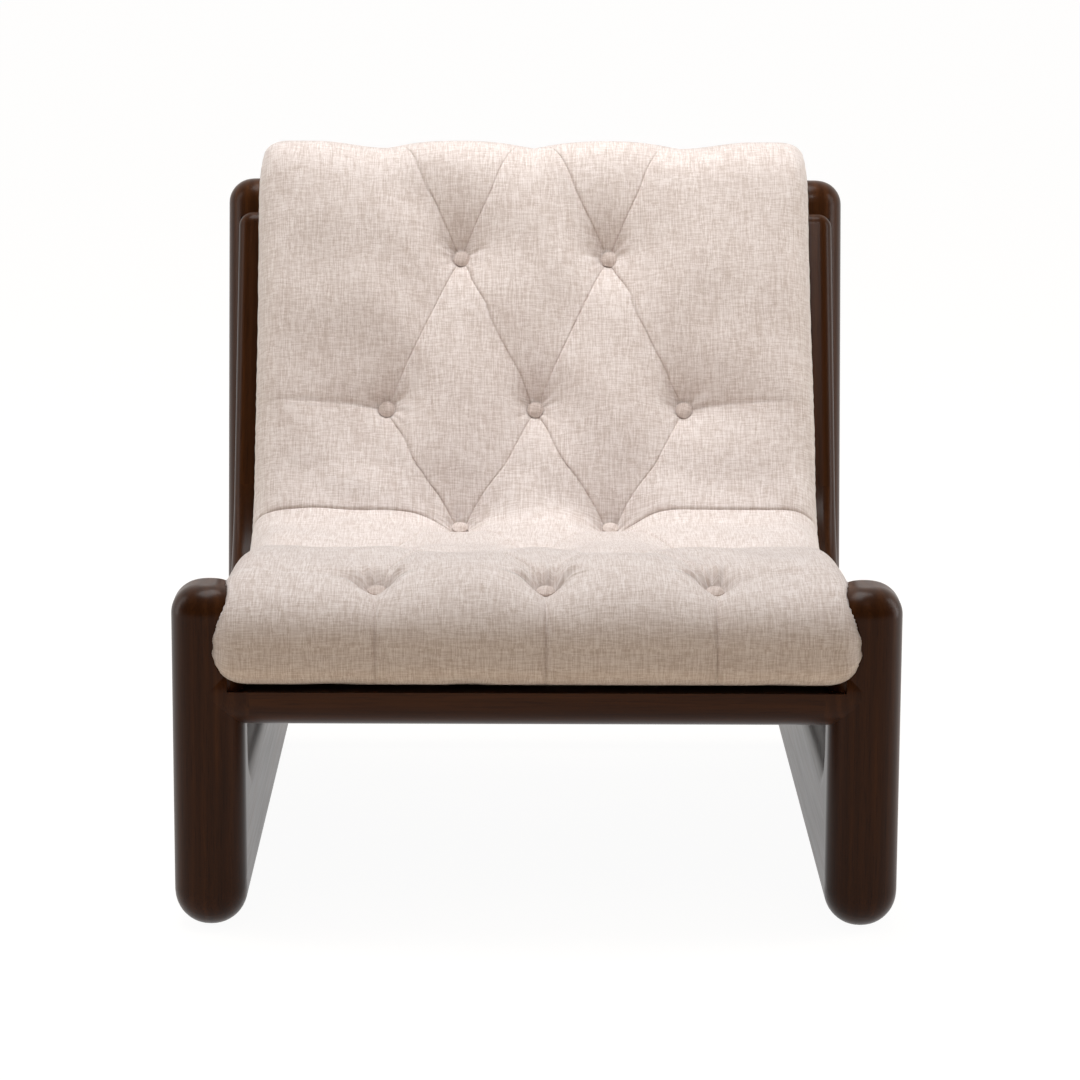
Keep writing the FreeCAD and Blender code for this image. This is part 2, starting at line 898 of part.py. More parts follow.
def roll_reach(x, row, full):
    """Reach of an end roll, drawn in along the seams and towards the sides."""
    seam = seam_channel * (1 - abs(math.sin(math.pi * column_share(x, row) / 2))) * edge_fade(x)
    return full - seam - edge_drop(x, base_edge_round) * roll_drawn_in_at_edge


def arc_edge(points):
    """Arc through three points, or a line where they lie in a row."""
    start, middle, end = points
    if middle.distanceToLine(start, end - start) < tolerance:
        return Part.LineSegment(start, end).toShape()
    return Part.Arc(start, middle, end).toShape()


def roll_edges(x, travel, low, high, reach, sign):
    """Two arcs round an end of the cushion, from the base to the face."""
    middle = (low + high) / 2
    half = (high - low) / 2
    diagonal = math.sqrt(0.5)
    start = deck_point(travel, low, x)
    tip = deck_point(travel + sign * reach, middle, x)
    finish = deck_point(travel, high, x)
    lower = deck_point(travel + sign * reach * diagonal, middle - half * diagonal, x)
    upper = deck_point(travel + sign * reach * diagonal, middle + half * diagonal, x)
    return arc_edge([start, lower, tip]), arc_edge([tip, upper, finish])


def section_rows():
    """Rows where a side profile changes arc: each row, half rows round the crease, the top."""
    rows = [float(row) for row in range(last_button_row() + 1)]
    rows.extend([crease_row() - 0.5, crease_row() + 0.5])
    return sorted(rows) + [row_at(top_roll_start)]


def cushion_section(x):
    """Closed side profile of the cushion at one x; its base dips into the rebate of the rail."""
    low = base_height(x)
    dip = low - rail_rebate_drop
    dip_end = deck_travel_at(rail_depth)
    rows = section_rows()
    top_row = rows[-1]
    front = row_travel(0.0)
    front_reach = roll_reach(x, 0.0, front_roll_reach)
    top_reach = roll_reach(x, top_row, top_roll_reach)
    edges = []
    edges.extend(roll_edges(x, front, dip, face_height(x, 0.0), front_reach, -1))
    for here, after in zip(rows[:-1], rows[1:]):
        points = [
            deck_point(row_travel(row), face_height(x, row), x)
            for row in (here, (here + after) / 2, after)
        ]
        edges.append(arc_edge(points))
    lower, upper = roll_edges(x, top_roll_start, low, face_height(x, top_row), top_reach, 1)
    edges.extend([upper, lower])
    rise_end = deck_point(dip_end + base_dip_rise, low, x)
    edges.extend(deck_run(top_roll_start, dip_end + base_dip_rise, low, x))
    edges.append(Part.LineSegment(rise_end, deck_point(dip_end, dip, x)).toShape())
    edges.extend(deck_run(dip_end, front, dip, x))
    return Part.Wire(edges)


def section_places():
    """Half-width stations: two per button column, then closer towards the edge."""
    columns = [button_column * i / 2 for i in range(2 * columns_each_side + 1)]
    edge = [cushion_half - face_edge_round * share for share in face_edge_stations]
    half_way = (columns[-1] + edge[0]) / 2
    half = columns + [half_way] + edge
    return [-x for x in reversed(half[1:])] + half


def tufted_form():
    sections = [cushion_section(x) for x in section_places()]
    return Part.makeLoft(sections, True, True)


def button_floor(row):
    return cushion_height - row_depth(row) - button_socket_depth


def core_slab(front, back, grow, rounded_ends):
    """Foam slab that follows the deck between two travels, grown by a gap."""
    half = core_half + grow
    low = core_base - grow
    high = core_top + grow
    begin = front - grow
    finish = back + grow
    edges = deck_run(begin, finish, low, -half)
    edges.append(Part.LineSegment(deck_point(finish, low, -half), deck_point(finish, high, -half)).toShape())
    edges.extend(deck_run(finish, begin, high, -half))
    edges.append(Part.LineSegment(deck_point(begin, high, -half), deck_point(begin, low, -half)).toShape())
    slab = Part.Face(Part.Wire(edges)).extrude(V(2 * half, 0, 0))
    corners = []
    for end, travel in (("front", begin), ("back", finish)):
        if end in rounded_ends:
            corners.extend([deck_point(travel, low), deck_point(travel, high)])

    def at_corner(edge, middle):
        return runs_along_x(edge) and any((middle - corner).Length < tolerance for corner in corners)

    return round_edges(slab, core_corner + grow, at_corner)


def core_span():
    return row_travel(0.0) - core_front_past_row, top_roll_start + core_top_past_roll


def core_split():
    """Travel of the crease between seat and back, under its row of buttons."""
    return row_travel(crease_row())


def button_places():
    """x and row of each button; odd rows stand half way between the even ones."""
    places = []
    for row in range(last_button_row() + 1):
        first = row % 2 - columns_each_side
        for column in range(first, columns_each_side + 1, 2):
            places.append((column * button_column + row_drift(row), row))
    return places


def tuft_rod(place, low, high, radius):
    x, row = place
    travel = row_travel(row)
    return rod(deck_point(travel, low, x), deck_normal(travel), high - low, radius)


def button_axis(row):
    """Direction in which a button faces; the front row is tipped forward."""
    normal = deck_normal(row_travel(row))
    tilt = math.radians(front_button_tilt) if row == 0 else 0.0
    across = normal.y * math.cos(tilt) - normal.z * math.sin(tilt)
    up = normal.y * math.sin(tilt) + normal.z * math.cos(tilt)
    return V(0, across, up)


def button_seat(place):
    x, row = place
    return deck_point(row_travel(row), button_floor(row), x)


def button_socket(place):
    """Round opening over one button, out through the face of the cushion."""
    row = place[1]
    reach = cushion_height - button_floor(row) + button_radius
    return rod(button_seat(place), button_axis(row), reach, button_radius + button_socket_gap)


def foam_core(front, back, rounded_end):
    core = core_slab(front, back, 0.0, (rounded_end,))
    cutters = []
    seat_top = core_base + anchor_thickness
    for place in button_places():
        low = core_base - cut_past
        cutters.append(tuft_rod(place, low, core_top + cut_past, twine_radius + twine_hole_gap))
        cutters.append(tuft_rod(place, low, seat_top, anchor_radius + anchor_gap))
    return core.cut(cutters)


def seat_foam_core():
    return foam_core(core_span()[0], core_split() - core_split_gap / 2, "front")


def back_foam_core():
    return foam_core(core_split() + core_split_gap / 2, core_span()[1], "back")


def cushion_cover():
    """Tufted outer form, hollow for the foam, with pockets where the legs press in."""
    front, back = core_span()
    cover = tufted_form()
    cutters = [core_slab(front, back, core_gap, ("front", "back"))]
    pocket = leg_column(leg_pocket_gap).fuse(rail_stub_shape(leg_pocket_gap))
    cutters.extend([pocket, mirrored(pocket)])
    for place in button_places():
        cutters.append(button_socket(place))
        cutters.append(tuft_rod(place, core_top, cushion_height, twine_radius + twine_hole_gap))
    cutters.append(
        plank(
            zip_travel(),
            -zip_tape_width,
            zip_floor(),
            zip_tape_width + 2 * zip_groove_gap,
            zip_length / 2 + zip_groove_gap,
            0.0,
        )
    )
    for cutter in cutters:
        cover = cover.cut(cutter)
    return cover


def tuft_buttons():
    """Covered buttons: a low rim and a domed top, seated in the tufts."""
    ball = (button_radius ** 2 + button_dome ** 2) / (2 * button_dome)
    height = button_rim + button_dome
    master = Part.makeCylinder(button_radius, height).common(Part.makeSphere(ball, V(0, 0, height - ball)))
    buttons = []
    for place in button_places():
        axis = button_axis(place[1])
        button = master.copy()
        button.rotate(V(0, 0, 0), V(1, 0, 0), math.degrees(math.atan2(-axis.y, axis.z)))
        button.translate(button_seat(place))
        buttons.append(button)
    return Part.makeCompound(buttons)


def tuft_twines():
    """Twines from the anchors to the undersides of the buttons."""
    low = core_base + anchor_thickness
    twines = []
    for place in button_places():
        twine = tuft_rod(place, low, button_floor(place[1]) + cut_past, twine_radius)
        twines.append(twine.cut(button_socket(place)))
    return Part.makeCompound(twines)


def tuft_anchors():
    low = core_base
    high = core_base + anchor_thickness
    return Part.makeCompound([tuft_rod(place, low, high, anchor_radius) for place in button_places()])


def zip_travel():
    """The zip lies in the space between the last two back slats."""
    travels = back_slat_travels()
    return (travels[-1] + travels[-2]) / 2


def zip_floor():
    return cushion_clearance + zip_coil_height + zip_tape_thickness


def zip_tape():
    middle = zip_travel()
    coil_top = cushion_clearance + zip_coil_height
    tape = plank(middle, coil_top, zip_floor(), zip_tape_width, zip_length / 2, 0.0)
    coil = plank(middle, cushion_clearance, coil_top, zip_coil_width, zip_length / 2, 0.0)
    return tape.fuse(coil).removeSplitter()


def zip_slider():
    slider = plank(
        zip_travel(),
        cushion_clearance - slider_height,
        cushion_clearance,
        slider_width,
        slider_length / 2,
        0.0,
    )
    slider.translate(V(zip_length / 2 - slider_length, 0, 0))
    return slider


# Whole chair
def both_sides(shape):
    return Part.makeCompound([shape, mirrored(shape)])


def chair_nodes():
    leg, runner, post = side_frame_pieces()
    rail, knee, stile = inner_frame_pieces()
    nodes = {}
    for name, shape in (
        ("front_leg", leg),
        ("floor_runner", runner),
        ("rear_post", post),
        ("seat_rail", rail),
        ("knee", knee),
        ("back_stile", stile),
    ):
        nodes["right_" + name] = shape
        nodes["left_" + name] = mirrored(shape)
    nodes["front_rail"] = front_rail()
    nodes["rear_stretcher"] = rear_stretcher()
    nodes["knee_cross_rail"] = cross_rail(-knee_travel / 2)
    nodes["top_cross_rail"] = cross_rail(top_rail_travel())
    nodes["seat_slats"] = Part.makeCompound([slat(travel) for travel in seat_slat_travels()])
    nodes["knee_slats"] = Part.makeCompound([slat(travel) for travel in knee_slat_travels()])
    nodes["back_slats"] = Part.makeCompound([slat(travel) for travel in back_slat_travels()])
    mitres = [tenon_at(place, tenon_width, tenon_reach) for place in mitre_tenon_places()]
    joints = [tenon_at(place, small_tenon_width, tenon_reach) for place in frame_joint_tenon_places()]
    nodes["side_frame_tenons"] = both_sides(Part.makeCompound(mitres))
    nodes["inner_frame_tenons"] = both_sides(Part.makeCompound(joints))
    nodes["front_rail_tenons"] = both_sides(rail_tenon())
    nodes["stretcher_tenons"] = both_sides(stretcher_tenon())
    nodes["post_bolts"] = both_sides(bolt(post_bolt_line()))
    nodes["runner_bolts"] = both_sides(bolt(runner_bolt_line()))
    lines = (post_bolt_line(), runner_bolt_line())
    nodes["bolt_washers"] = both_sides(Part.makeCompound([washer(line) for line in lines]))
    nodes["threaded_inserts"] = both_sides(Part.makeCompound([insert(line) for line in lines]))
    pads = []
    for start_y in pad_starts():
        felt = pad(start_y)
        felt.translate(V(0, 0, -pad_stand_out))
        pads.append(felt)
    nodes["felt_pads"] = both_sides(Part.makeCompound(pads))
    nodes["cushion_cover"] = cushion_cover()
    nodes["seat_foam_core"] = seat_foam_core()
    nodes["back_foam_core"] = back_foam_core()
    nodes["tuft_buttons"] = tuft_buttons()
    nodes["tuft_twines"] = tuft_twines()
    nodes["tuft_anchors"] = tuft_anchors()
    nodes["zip_tape"] = zip_tape()
    nodes["zip_slider"] = zip_slider()
    return nodes


def main():
    os.makedirs("parts", exist_ok=True)
    nodes = chair_nodes()
    box = Part.makeCompound(list(nodes.values())).optimalBoundingBox(False)
    to_origin = V(0, -(box.YMin + box.YMax) / 2, -box.ZMin)
    print("centred from y", box.YMin, box.YMax, "lowest z", box.ZMin)
    for name, shape in nodes.items():
        shape.translate(to_origin)
        shape.exportStep("parts/" + name + ".step")
        print(name, len(shape.Solids), "solids, valid", shape.isValid())


main()
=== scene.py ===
import math
import bpy
import numpy as np
from mathutils import Matrix, Vector


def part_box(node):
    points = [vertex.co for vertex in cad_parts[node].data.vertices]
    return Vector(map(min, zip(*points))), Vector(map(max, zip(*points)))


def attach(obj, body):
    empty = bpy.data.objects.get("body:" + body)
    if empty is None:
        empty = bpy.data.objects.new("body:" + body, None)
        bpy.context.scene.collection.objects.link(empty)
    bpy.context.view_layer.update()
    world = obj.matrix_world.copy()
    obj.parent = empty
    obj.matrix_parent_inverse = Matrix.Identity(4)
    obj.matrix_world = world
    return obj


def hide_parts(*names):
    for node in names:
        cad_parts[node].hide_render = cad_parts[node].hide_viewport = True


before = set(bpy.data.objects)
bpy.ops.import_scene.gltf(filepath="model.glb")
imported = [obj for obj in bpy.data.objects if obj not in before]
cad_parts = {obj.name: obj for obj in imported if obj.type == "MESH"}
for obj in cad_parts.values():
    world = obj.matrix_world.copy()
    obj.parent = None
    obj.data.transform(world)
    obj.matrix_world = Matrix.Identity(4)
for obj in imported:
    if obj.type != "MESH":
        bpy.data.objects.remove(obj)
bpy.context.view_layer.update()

# Low lounge chair with a diamond-tufted pad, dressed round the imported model.
# Metres. X across, Y from front to back, Z up from the floor.
# A point of the pad's cloth has a place across and a run from front to top. Its travel is
# where it comes to lie along the deck line; 0 is where the knee ends and the back begins.

leg_low, leg_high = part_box("right_front_leg")
front_y = leg_low[1]
frame_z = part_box("right_floor_runner")[0][2]

# Deck line that the cushion lies on, as in the model
knee_centre_y = front_y + 0.5067
knee_centre_z = frame_z + 0.4153
knee_radius = 0.200
seat_slope = math.radians(5.0)
knee_end_angle = math.radians(67.0)
post_lean = math.radians(10.6)
cushion_height = 0.115
middle_radius = knee_radius - cushion_height / 2
knee_travel = middle_radius * (knee_end_angle + seat_slope)

# Tuft pattern; rows are counted from the front, columns from the middle
column = 0.086
last_column = 2 * column
row_pitch = 0.173
front_row = -knee_travel - 0.443
row_count = 6
crease_row = 3
rows_of_full_pitch = 4
top_row_rise = 0.008
seam_rows = (0, 2, 4)
seam_columns = (-2, 0, 2)
front_drift = 0.009
drift_fade = 0.11

# Covered buttons and the sockets that they sit in
button_radius = 0.0093
button_rim = 0.0030
button_dome = 0.0024
button_edge = 0.0008
button_ribs = 44
button_pucker = 0.00012
button_depth = 0.027
front_button_depth = 0.021
front_button_tilt = math.radians(23.5)
socket_depth = 0.004
socket_gap = 0.0002
socket_slope = 3.2
socket_reach = 0.028

# Hollows and swellings; a pit is given by its depth, reach and steepness
hollow_share = 0.62
hollow_fade = 0.78
front_hollow_length = 0.095
funnel_room = 0.0143
funnel_steepness = 1.2
front_soft_pit = (0.016, 0.019, 1.15)
front_steep_pit = (0.028, 0.0175, 2.3)
front_open_pit = (0.011, 0.019, 1.5)
swell_height = 0.0115
seat_dip = (0.0085, 0.042, 2)
face_wave = 0.0016
base_wave = 0.0015
foam_wave = 0.0006

# Pleats round each button as how many there are and their weights
button_pleats = ((6, 0.7), (9, 0.9), (13, 0.6), (19, 0.3))
pleat_ring = 0.020

# Folds and seams as depth and width, each with the wider valley that it lies in
falling_fold, falling_valley = (0.0024, 0.0012), (0.0018, 0.010)
rising_fold, rising_valley = (0.0015, 0.0011), (0.0016, 0.010)
side_seam, side_valley = (0.0024, 0.0014), (0.0022, 0.012)
front_seam, front_valley = (0.0030, 0.0015), (0.0028, 0.012)
seat_fold, seat_valley = (0.0040, 0.0012), (0.0022, 0.006)
roll_seam = (0.0042, 0.0015)
rim_seam = (0.0016, 0.0025)

# Small puckers along the side seams
pucker_pitch = 0.017
pucker_reach = 0.020

# Short pleats that the side seam gathers into the front corners: start, slope, depth
side_pleats = ((0.044, 0.9, 0.0040), (0.060, 0.5, 0.0040), (0.078, 0.3, 0.0032))
side_pleat_width = 0.0028
side_pleat_reach = 0.030
side_pleat_offset = 0.006

# Cushion outline; a reach is how far a roll stands out, an arc how much run it takes up
side_flat = 0.280
side_reach = 0.0452
side_arc = 0.078
crest_start = 0.055
crest_turn = math.radians(25.9)
front_reach = 0.126
front_arc = 0.104
top_start = 0.332
top_reach = 0.068
top_arc = 0.088
top_end = top_start + top_arc
front_edge_height = 0.042
back_edge_height = 0.0575
edge_rise_length = 0.45
base_clearance = 0.0003
rebate_dip = 0.0062
face_power = 2.35
corner_power = 3.3
roll_power = 2.15
base_power = 3.1
base_roll_power = 5.0
corner_at_front = 0.06
corner_at_top = 0.25
end_rounding = 0.30
seam_channel = 0.008
front_widening = 0.0030
back_narrowing = 0.0020
back_shift = 0.0025

# Foam inside the cushion; its top stays lower by the slack
core_half = 0.282
core_low = 0.008
core_high = 0.078
core_slack = 0.004
core_edge = 0.020
core_front = front_row - 0.036
core_back = top_start + 0.012
core_split = front_row + crease_row * row_pitch
core_gap = 0.0025

# Legs that the cushion presses against
leg_half = 0.037
leg_middle_x = leg_high[0] - leg_half
member_round = 0.036
leg_depth = 0.092
leg_top_round = 0.029
press_gap = 0.0006

# Lines of the cushion's mesh in the front roll and in each band between two creases
front_line_count = 61
band_line_count = 56
weld_distance = 1e-7


# Camera, light and floor
def add_object(name, data):
    made = bpy.data.objects.new(name, data)
    bpy.context.collection.objects.link(made)
    return made


def look_matrix(place, down, turn, roll):
    """Camera matrix at a place: degrees down, degrees turned towards +X, degrees rolled."""
    aim = Matrix.Rotation(math.radians(-turn), 4, "Z")
    aim = aim @ Matrix.Rotation(math.radians(90 - down), 4, "X")
    aim = aim @ Matrix.Rotation(math.radians(roll), 4, "Z")
    return Matrix.Translation(place) @ aim


def add_camera():
    data = bpy.data.cameras.new("photo_camera")
    data.lens = 130.0
    data.sensor_width = 36.0
    data.clip_end = 60.0
    camera = add_object("photo_camera", data)
    place = Vector((-0.0196, front_y - 3.8181, frame_z + 1.1779))
    camera.matrix_world = look_matrix(place, down=11.37, turn=0.330, roll=0.254)
    bpy.context.scene.camera = camera


def add_lamp(name, place, aim, size, energy, spread=180):
    """Rectangular lamp that faces its aim; the spread is in degrees."""
    data = bpy.data.lights.new(name, "AREA")
    data.shape = "RECTANGLE"
    data.size = size[0]
    data.size_y = size[1]
    data.energy = energy
    data.spread = math.radians(spread)
    lamp = add_object(name, data)
    lamp.location = place
    lamp.rotation_euler = (Vector(aim) - Vector(place)).to_track_quat("-Z", "Y").to_euler()
    return lamp


def add_lamps():
    """Key overhead, a little light on the back, a strip at each side and a warm fill in front."""
    for name, place, aim, size, energy, spread in (
        ("key_lamp", (-0.25, 0.22, 3.2), (0, 0.0, 0.4), (2.0, 1.4), 72, 180),
        ("back_lamp", (0.3, -1.4, 2.4), (0.10, 0.28, 0.53), (0.5, 0.4), 0.80, 34),
        ("left_strip", (-2.4, 0.3, 1.0), (0, -0.2, 0.4), (0.6, 2.0), 12, 180),
        ("right_strip", (2.4, 0.3, 1.0), (0, -0.2, 0.4), (0.6, 2.0), 20, 180),
    ):
        add_lamp(name, place, aim, size, energy, spread)
    fill = add_lamp("front_fill", (0, -2.6, 0.45), (0, -0.45, 0.30), (2.4, 0.7), 5.3)
    fill.data.color = (1.0, 0.78, 0.58)
    fill.visible_glossy = False


def new_material(name):
    material = bpy.data.materials.new(name)
    material.use_nodes = True
    tree = material.node_tree
    tree.nodes.clear()
    return material, tree


def add_node(tree, kind, settings=None, values=None, links=None):
    """New shader node with its settings, its socket values and its incoming links."""
    node = tree.nodes.new("ShaderNode" + kind)
    for name, value in (settings or {}).items():
        setattr(node, name, value)
    for name, value in (values or {}).items():
        node.inputs[name].default_value = value
    for name, source in (links or {}).items():
        tree.links.new(source, node.inputs[name])
    return node


def maths(tree, operation, first, second):
    """One arithmetic step; each side is a socket or a number."""
    node = add_node(tree, "Math", {"operation": operation})
    for place, value in enumerate((first, second)):
        if isinstance(value, (int, float)):
            node.inputs[place].default_value = value
        else:
            tree.links.new(value, node.inputs[place])
    return node.outputs[0]


def weighted(tree, *parts):
    """Sum of sockets, each given with its weight."""
    terms = [maths(tree, "MULTIPLY", source, weight) for source, weight in parts]
    total = terms[0]
    for term in terms[1:]:
        total = maths(tree, "ADD", total, term)
    return total


def blend_values(tree, share, first, second):
    node = add_node(tree, "Mix", {"data_type": "FLOAT"})
    for place, value in ((0, share), (2, first), (3, second)):
        tree.links.new(value, node.inputs[place])
    return node.outputs[0]


def smooth_range(tree, source, low, high, first, last):
    """Smooth change from a first value at low to a last value at high."""
    return add_node(tree, "MapRange", {"interpolation_type": "SMOOTHSTEP"}, {
        "From Min": low, "From Max": high, "To Min": first, "To Max": last,
    }, {"Value": source}).outputs["Result"]


def add_world():
    """White for the camera; as a light, a dome brightest overhead, and a sweep in gloss."""
    world = bpy.data.worlds.new("studio")
    bpy.context.scene.world = world
    world.use_nodes = True
    tree = world.node_tree
    tree.nodes.clear()
    direction = add_node(tree, "TexCoord").outputs["Generated"]
    parts = add_node(tree, "SeparateXYZ", links={"Vector": direction}).outputs
    dome = smooth_range(tree, parts["Z"], 0.30, 1.0, 0.02, 0.62)
    sweep = smooth_range(tree, parts["Y"], -0.3, 0.7, 0.15, 1.0)
    path = add_node(tree, "LightPath").outputs
    strength = blend_values(tree, path["Is Glossy Ray"], dome, sweep)
    warm = {"Color": (1.0, 0.97, 0.94, 1)}
    light = add_node(tree, "Background", values=warm, links={"Strength": strength})
    white = add_node(tree, "Background", values={"Color": (1, 1, 1, 1), "Strength": 1.0})
    mix = add_node(tree, "MixShader", links={
        "Fac": path["Is Camera Ray"],
        1: light.outputs[0],
        2: white.outputs[0],
    })
    add_node(tree, "OutputWorld", links={"Surface": mix.outputs[0]})


def add_floor():
    """Pale floor; what is seen of it is mostly lit from itself, so the shadow stays soft."""
    size = 30.0
    own_light_share = 0.86
    mesh = bpy.data.meshes.new("studio_floor")
    corners = [(-size, -size, 0), (size, -size, 0), (size, size, 0), (-size, size, 0)]
    mesh.from_pydata(corners, [], [(0, 1, 2, 3)])
    floor = add_object("studio_floor", mesh)
    material, tree = new_material("studio_floor")
    path = add_node(tree, "LightPath").outputs
    seen = maths(tree, "MAXIMUM", path["Is Camera Ray"], path["Is Glossy Ray"])
    share = maths(tree, "MULTIPLY", seen, own_light_share)
    paper = add_node(tree, "BsdfDiffuse", values={"Color": (0.80, 0.70, 0.57, 1)})
    white = add_node(tree, "Emission", values={"Color": (1, 1, 1, 1), "Strength": 1.11})
    mix = add_node(tree, "MixShader", links={
        "Fac": share,
        1: paper.outputs[0],
        2: white.outputs[0],
    })
    add_node(tree, "OutputMaterial", links={"Surface": mix.outputs[0]})
    mesh.materials.append(material)


# Cushion surface
def deck_frame(travel):
    """Foot on the deck line and the normal out of it, for an array of travels."""
    bend = np.clip(travel, -knee_travel, 0.0)
    angle = knee_end_angle + bend / middle_radius
    run = travel - bend
    foot_y = knee_centre_y + knee_radius * np.sin(angle) + run * np.cos(angle)
    foot_z = knee_centre_z - knee_radius * np.cos(angle) + run * np.sin(angle)
    return foot_y, foot_z, -np.sin(angle), np.cos(angle)


def over_deck(x, travel, height):
    """Points at a height over the deck line."""
    foot_y, foot_z, normal_y, normal_z = deck_frame(travel)
    return np.stack([x, foot_y + height * normal_y, foot_z + height * normal_z], axis=-1)


def ease(share):
    """Smooth step from 0 to 1."""
    held = np.clip(share, 0.0, 1.0)
    return held * held * (3 - 2 * held)


def groove(distance, depth, width):
    """Depth of a fold at a distance to its side."""
    return depth * np.exp(-np.abs(distance) / width)


def pit(distance, depth, reach, steepness):
    """Depth of a pit at a distance from its middle."""
    return depth * np.exp(-(distance / reach) ** steepness)


def roll_turn(distance, arc):
    """Turn of a roll, 0 where it starts and a right angle at its tip."""
    return np.clip(distance / arc, 0.0, 1.0) * math.pi / 2


def front_turn(run):
    """Turn of the front roll, which starts behind the front buttons."""
    ahead = front_row - run
    turn = crest_turn * np.clip(1 + ahead / crest_start, 0.0, 1.0)
    return turn + (math.pi / 2 - crest_turn) * np.clip(ahead / front_arc, 0.0, 1.0)


def edge_height(run):
    """Height of the cushion's rim over the deck, lower at the front."""
    rise = ease((run - front_row) / edge_rise_length)
    return front_edge_height + (back_edge_height - front_edge_height) * rise


def fullness(share, power):
    """Share of a full width or height along a roll; a higher power makes it squarer."""
    return np.power(np.clip(share, 0.0, 1.0), 2.0 / power)


def row_run(row):
    """Run of a row of buttons; the top row stands a little higher."""
    return front_row + row * row_pitch + top_row_rise * np.maximum(row - rows_of_full_pitch, 0.0)


def row_of(run):
    """Row at a run, with its fraction; the inverse of row_run."""
    row = (run - front_row) / row_pitch
    past = (run - row_run(rows_of_full_pitch)) / (row_pitch + top_row_rise)
    return np.where(row > rows_of_full_pitch, rows_of_full_pitch + past, row)


def in_front_row(run):
    return run < front_row + row_pitch / 2


def near_front(run):
    """0 up to the front buttons, 1 on the front roll."""
    start, length = front_row + 0.02, 0.05
    return ease((start - run) / length)


def tuft_depth(run):
    """Depth of the tufts, shallower in the front row."""
    return front_button_depth + (button_depth - front_button_depth) * np.clip(row_of(run), 0.0, 1.0)


def drift(across, run):
    """Sideways drift of the front row and of the seams below it."""
    inner = 1 - ease((np.abs(across) - last_column) / drift_fade)
    return front_drift * (1 - ease(row_of(run))) * inner


def button_places():
    """Place across and run of each button; odd rows stand between the columns of even rows."""
    places = []
    for row in range(row_count):
        for step in range(row % 2 - 2, 3, 2):
            places.append((step * column, float(row_run(row))))
    return places


def zigzag(across):
    """0 at the even button columns and 1 at the odd ones; 0 past the last column."""
    phase = np.clip(np.abs(across) / column, 0.0, 2.0)
    return 1.0 - np.abs(phase - 1.0)


def crease_run(row, across):
    """Run of the crease that zigzags between one row of buttons and the next."""
    wave = zigzag(across)
    share = wave if row % 2 == 0 else 1.0 - wave
    return row_run(row + share)


def crease_distances(across, run):
    """Signed distances to the nearest falling and the nearest rising crease."""
    u = across / column
    v = row_of(run)
    slope = math.hypot(1 / column, 1 / row_pitch)
    return [(place - 2 * np.round(place / 2)) / slope for place in (u + v, v - u)]


def waves(across, run, seed, size, count=14):
    """Gentle unevenness from a few waves of about one size, the same each time."""
    rng = np.random.RandomState(seed)
    total = np.zeros_like(across)
    for _ in range(count):
        angle = rng.uniform(0, 2 * math.pi)
        wave = 2 * math.pi / (size * rng.uniform(0.7, 1.5))
        phase = rng.uniform(0, 2 * math.pi)
        total += np.sin(wave * (across * math.cos(angle) + run * math.sin(angle)) + phase)
    return total / math.sqrt(count)


def past_columns(across):
    """0 up to the last button column and 1 at the side of the cushion."""
    return np.clip((np.abs(across) - last_column) / (side_flat + side_arc - last_column), 0, 1)


def end_channel(across):
    """Valleys that the seams draw into the two end rolls."""
    steepness, fade_rate = 1.3, 2.2
    u = np.minimum(np.abs(across) / column, 2.0)
    valley = 1 - np.abs(np.sin(math.pi * u / 2))
    return np.power(valley, steepness) * (1 - ease(past_columns(across) * fade_rate))


def tuft_rise(across, run):
    """0 at a tuft, 1 at the middle of a diamond."""
    u = np.minimum(np.abs(across) / column, 2.0)
    v = np.clip(row_of(run), 0.0, row_count)
    return np.sqrt(np.maximum((1 - np.cos(math.pi * u) * np.cos(math.pi * v)) / 2, 0))


def crease_depth(across, run):
    """Narrow folds along the diagonal creases; the falling ones wander and lap over."""
    wander, lap_height, lap_turn, lap_reach = 0.0012, 0.0008, 0.0009, 0.014
    side_fade, front_rate = 0.004, 40
    least_valley, tuft_valley = 0.20, 1.10
    falling, rising = crease_distances(across, run)
    valley = least_valley + tuft_valley * (1 - tuft_rise(across, run))
    falling = falling + wander * waves(across, run, seed=11, size=0.06)
    inside = ease((last_column - np.abs(across)) / side_fade + 1)
    inside = inside * ease(row_of(run) * front_rate + 1)
    lap = lap_height * falling / (np.abs(falling) + lap_turn) * np.exp(-np.abs(falling) / lap_reach)
    depth = groove(falling, *falling_fold) + groove(falling, *falling_valley) * valley - lap
    depth += groove(rising, *rising_fold) + groove(rising, *rising_valley) * valley
    return depth * inside


def side_seam_depth(across, run):
    """Seams that run from the outer buttons to the sides in a slight bow."""
    bow, seam_end, valley_end = 0.007, 1.05, 1.15
    past = past_columns(across)
    depth = np.zeros_like(across)
    for row in seam_rows:
        gap = run - row_run(row) - bow * np.sin(past * math.pi)
        depth += groove(gap, *side_seam) * (1 - ease(past * seam_end)) ** 0.5
        depth += groove(gap, *side_valley) * (1 - ease(past * valley_end))
    return np.where(np.abs(across) > last_column, depth, 0.0)


def front_seam_depth(across, run):
    """Seams that drop from the front buttons down the front panel, in a slight sway."""
    sway, sway_rate, start, length = 0.0012, 60, 0.011, 0.018
    ahead = np.maximum(front_row - run, 0.0)
    depth = np.zeros_like(across)
    for step in seam_columns:
        gap = across - step * column + sway * np.sin(ahead * sway_rate + step)
        depth += groove(gap, *front_seam) + groove(gap, *front_valley)
    return depth * ease((ahead - start) / length)


def fold_run(across):
    """Run of the fold between seat and back; it climbs past the crease buttons."""
    climb, length = 0.016, 0.06
    return row_run(crease_row) + climb * ease((np.abs(across) - column) / length)


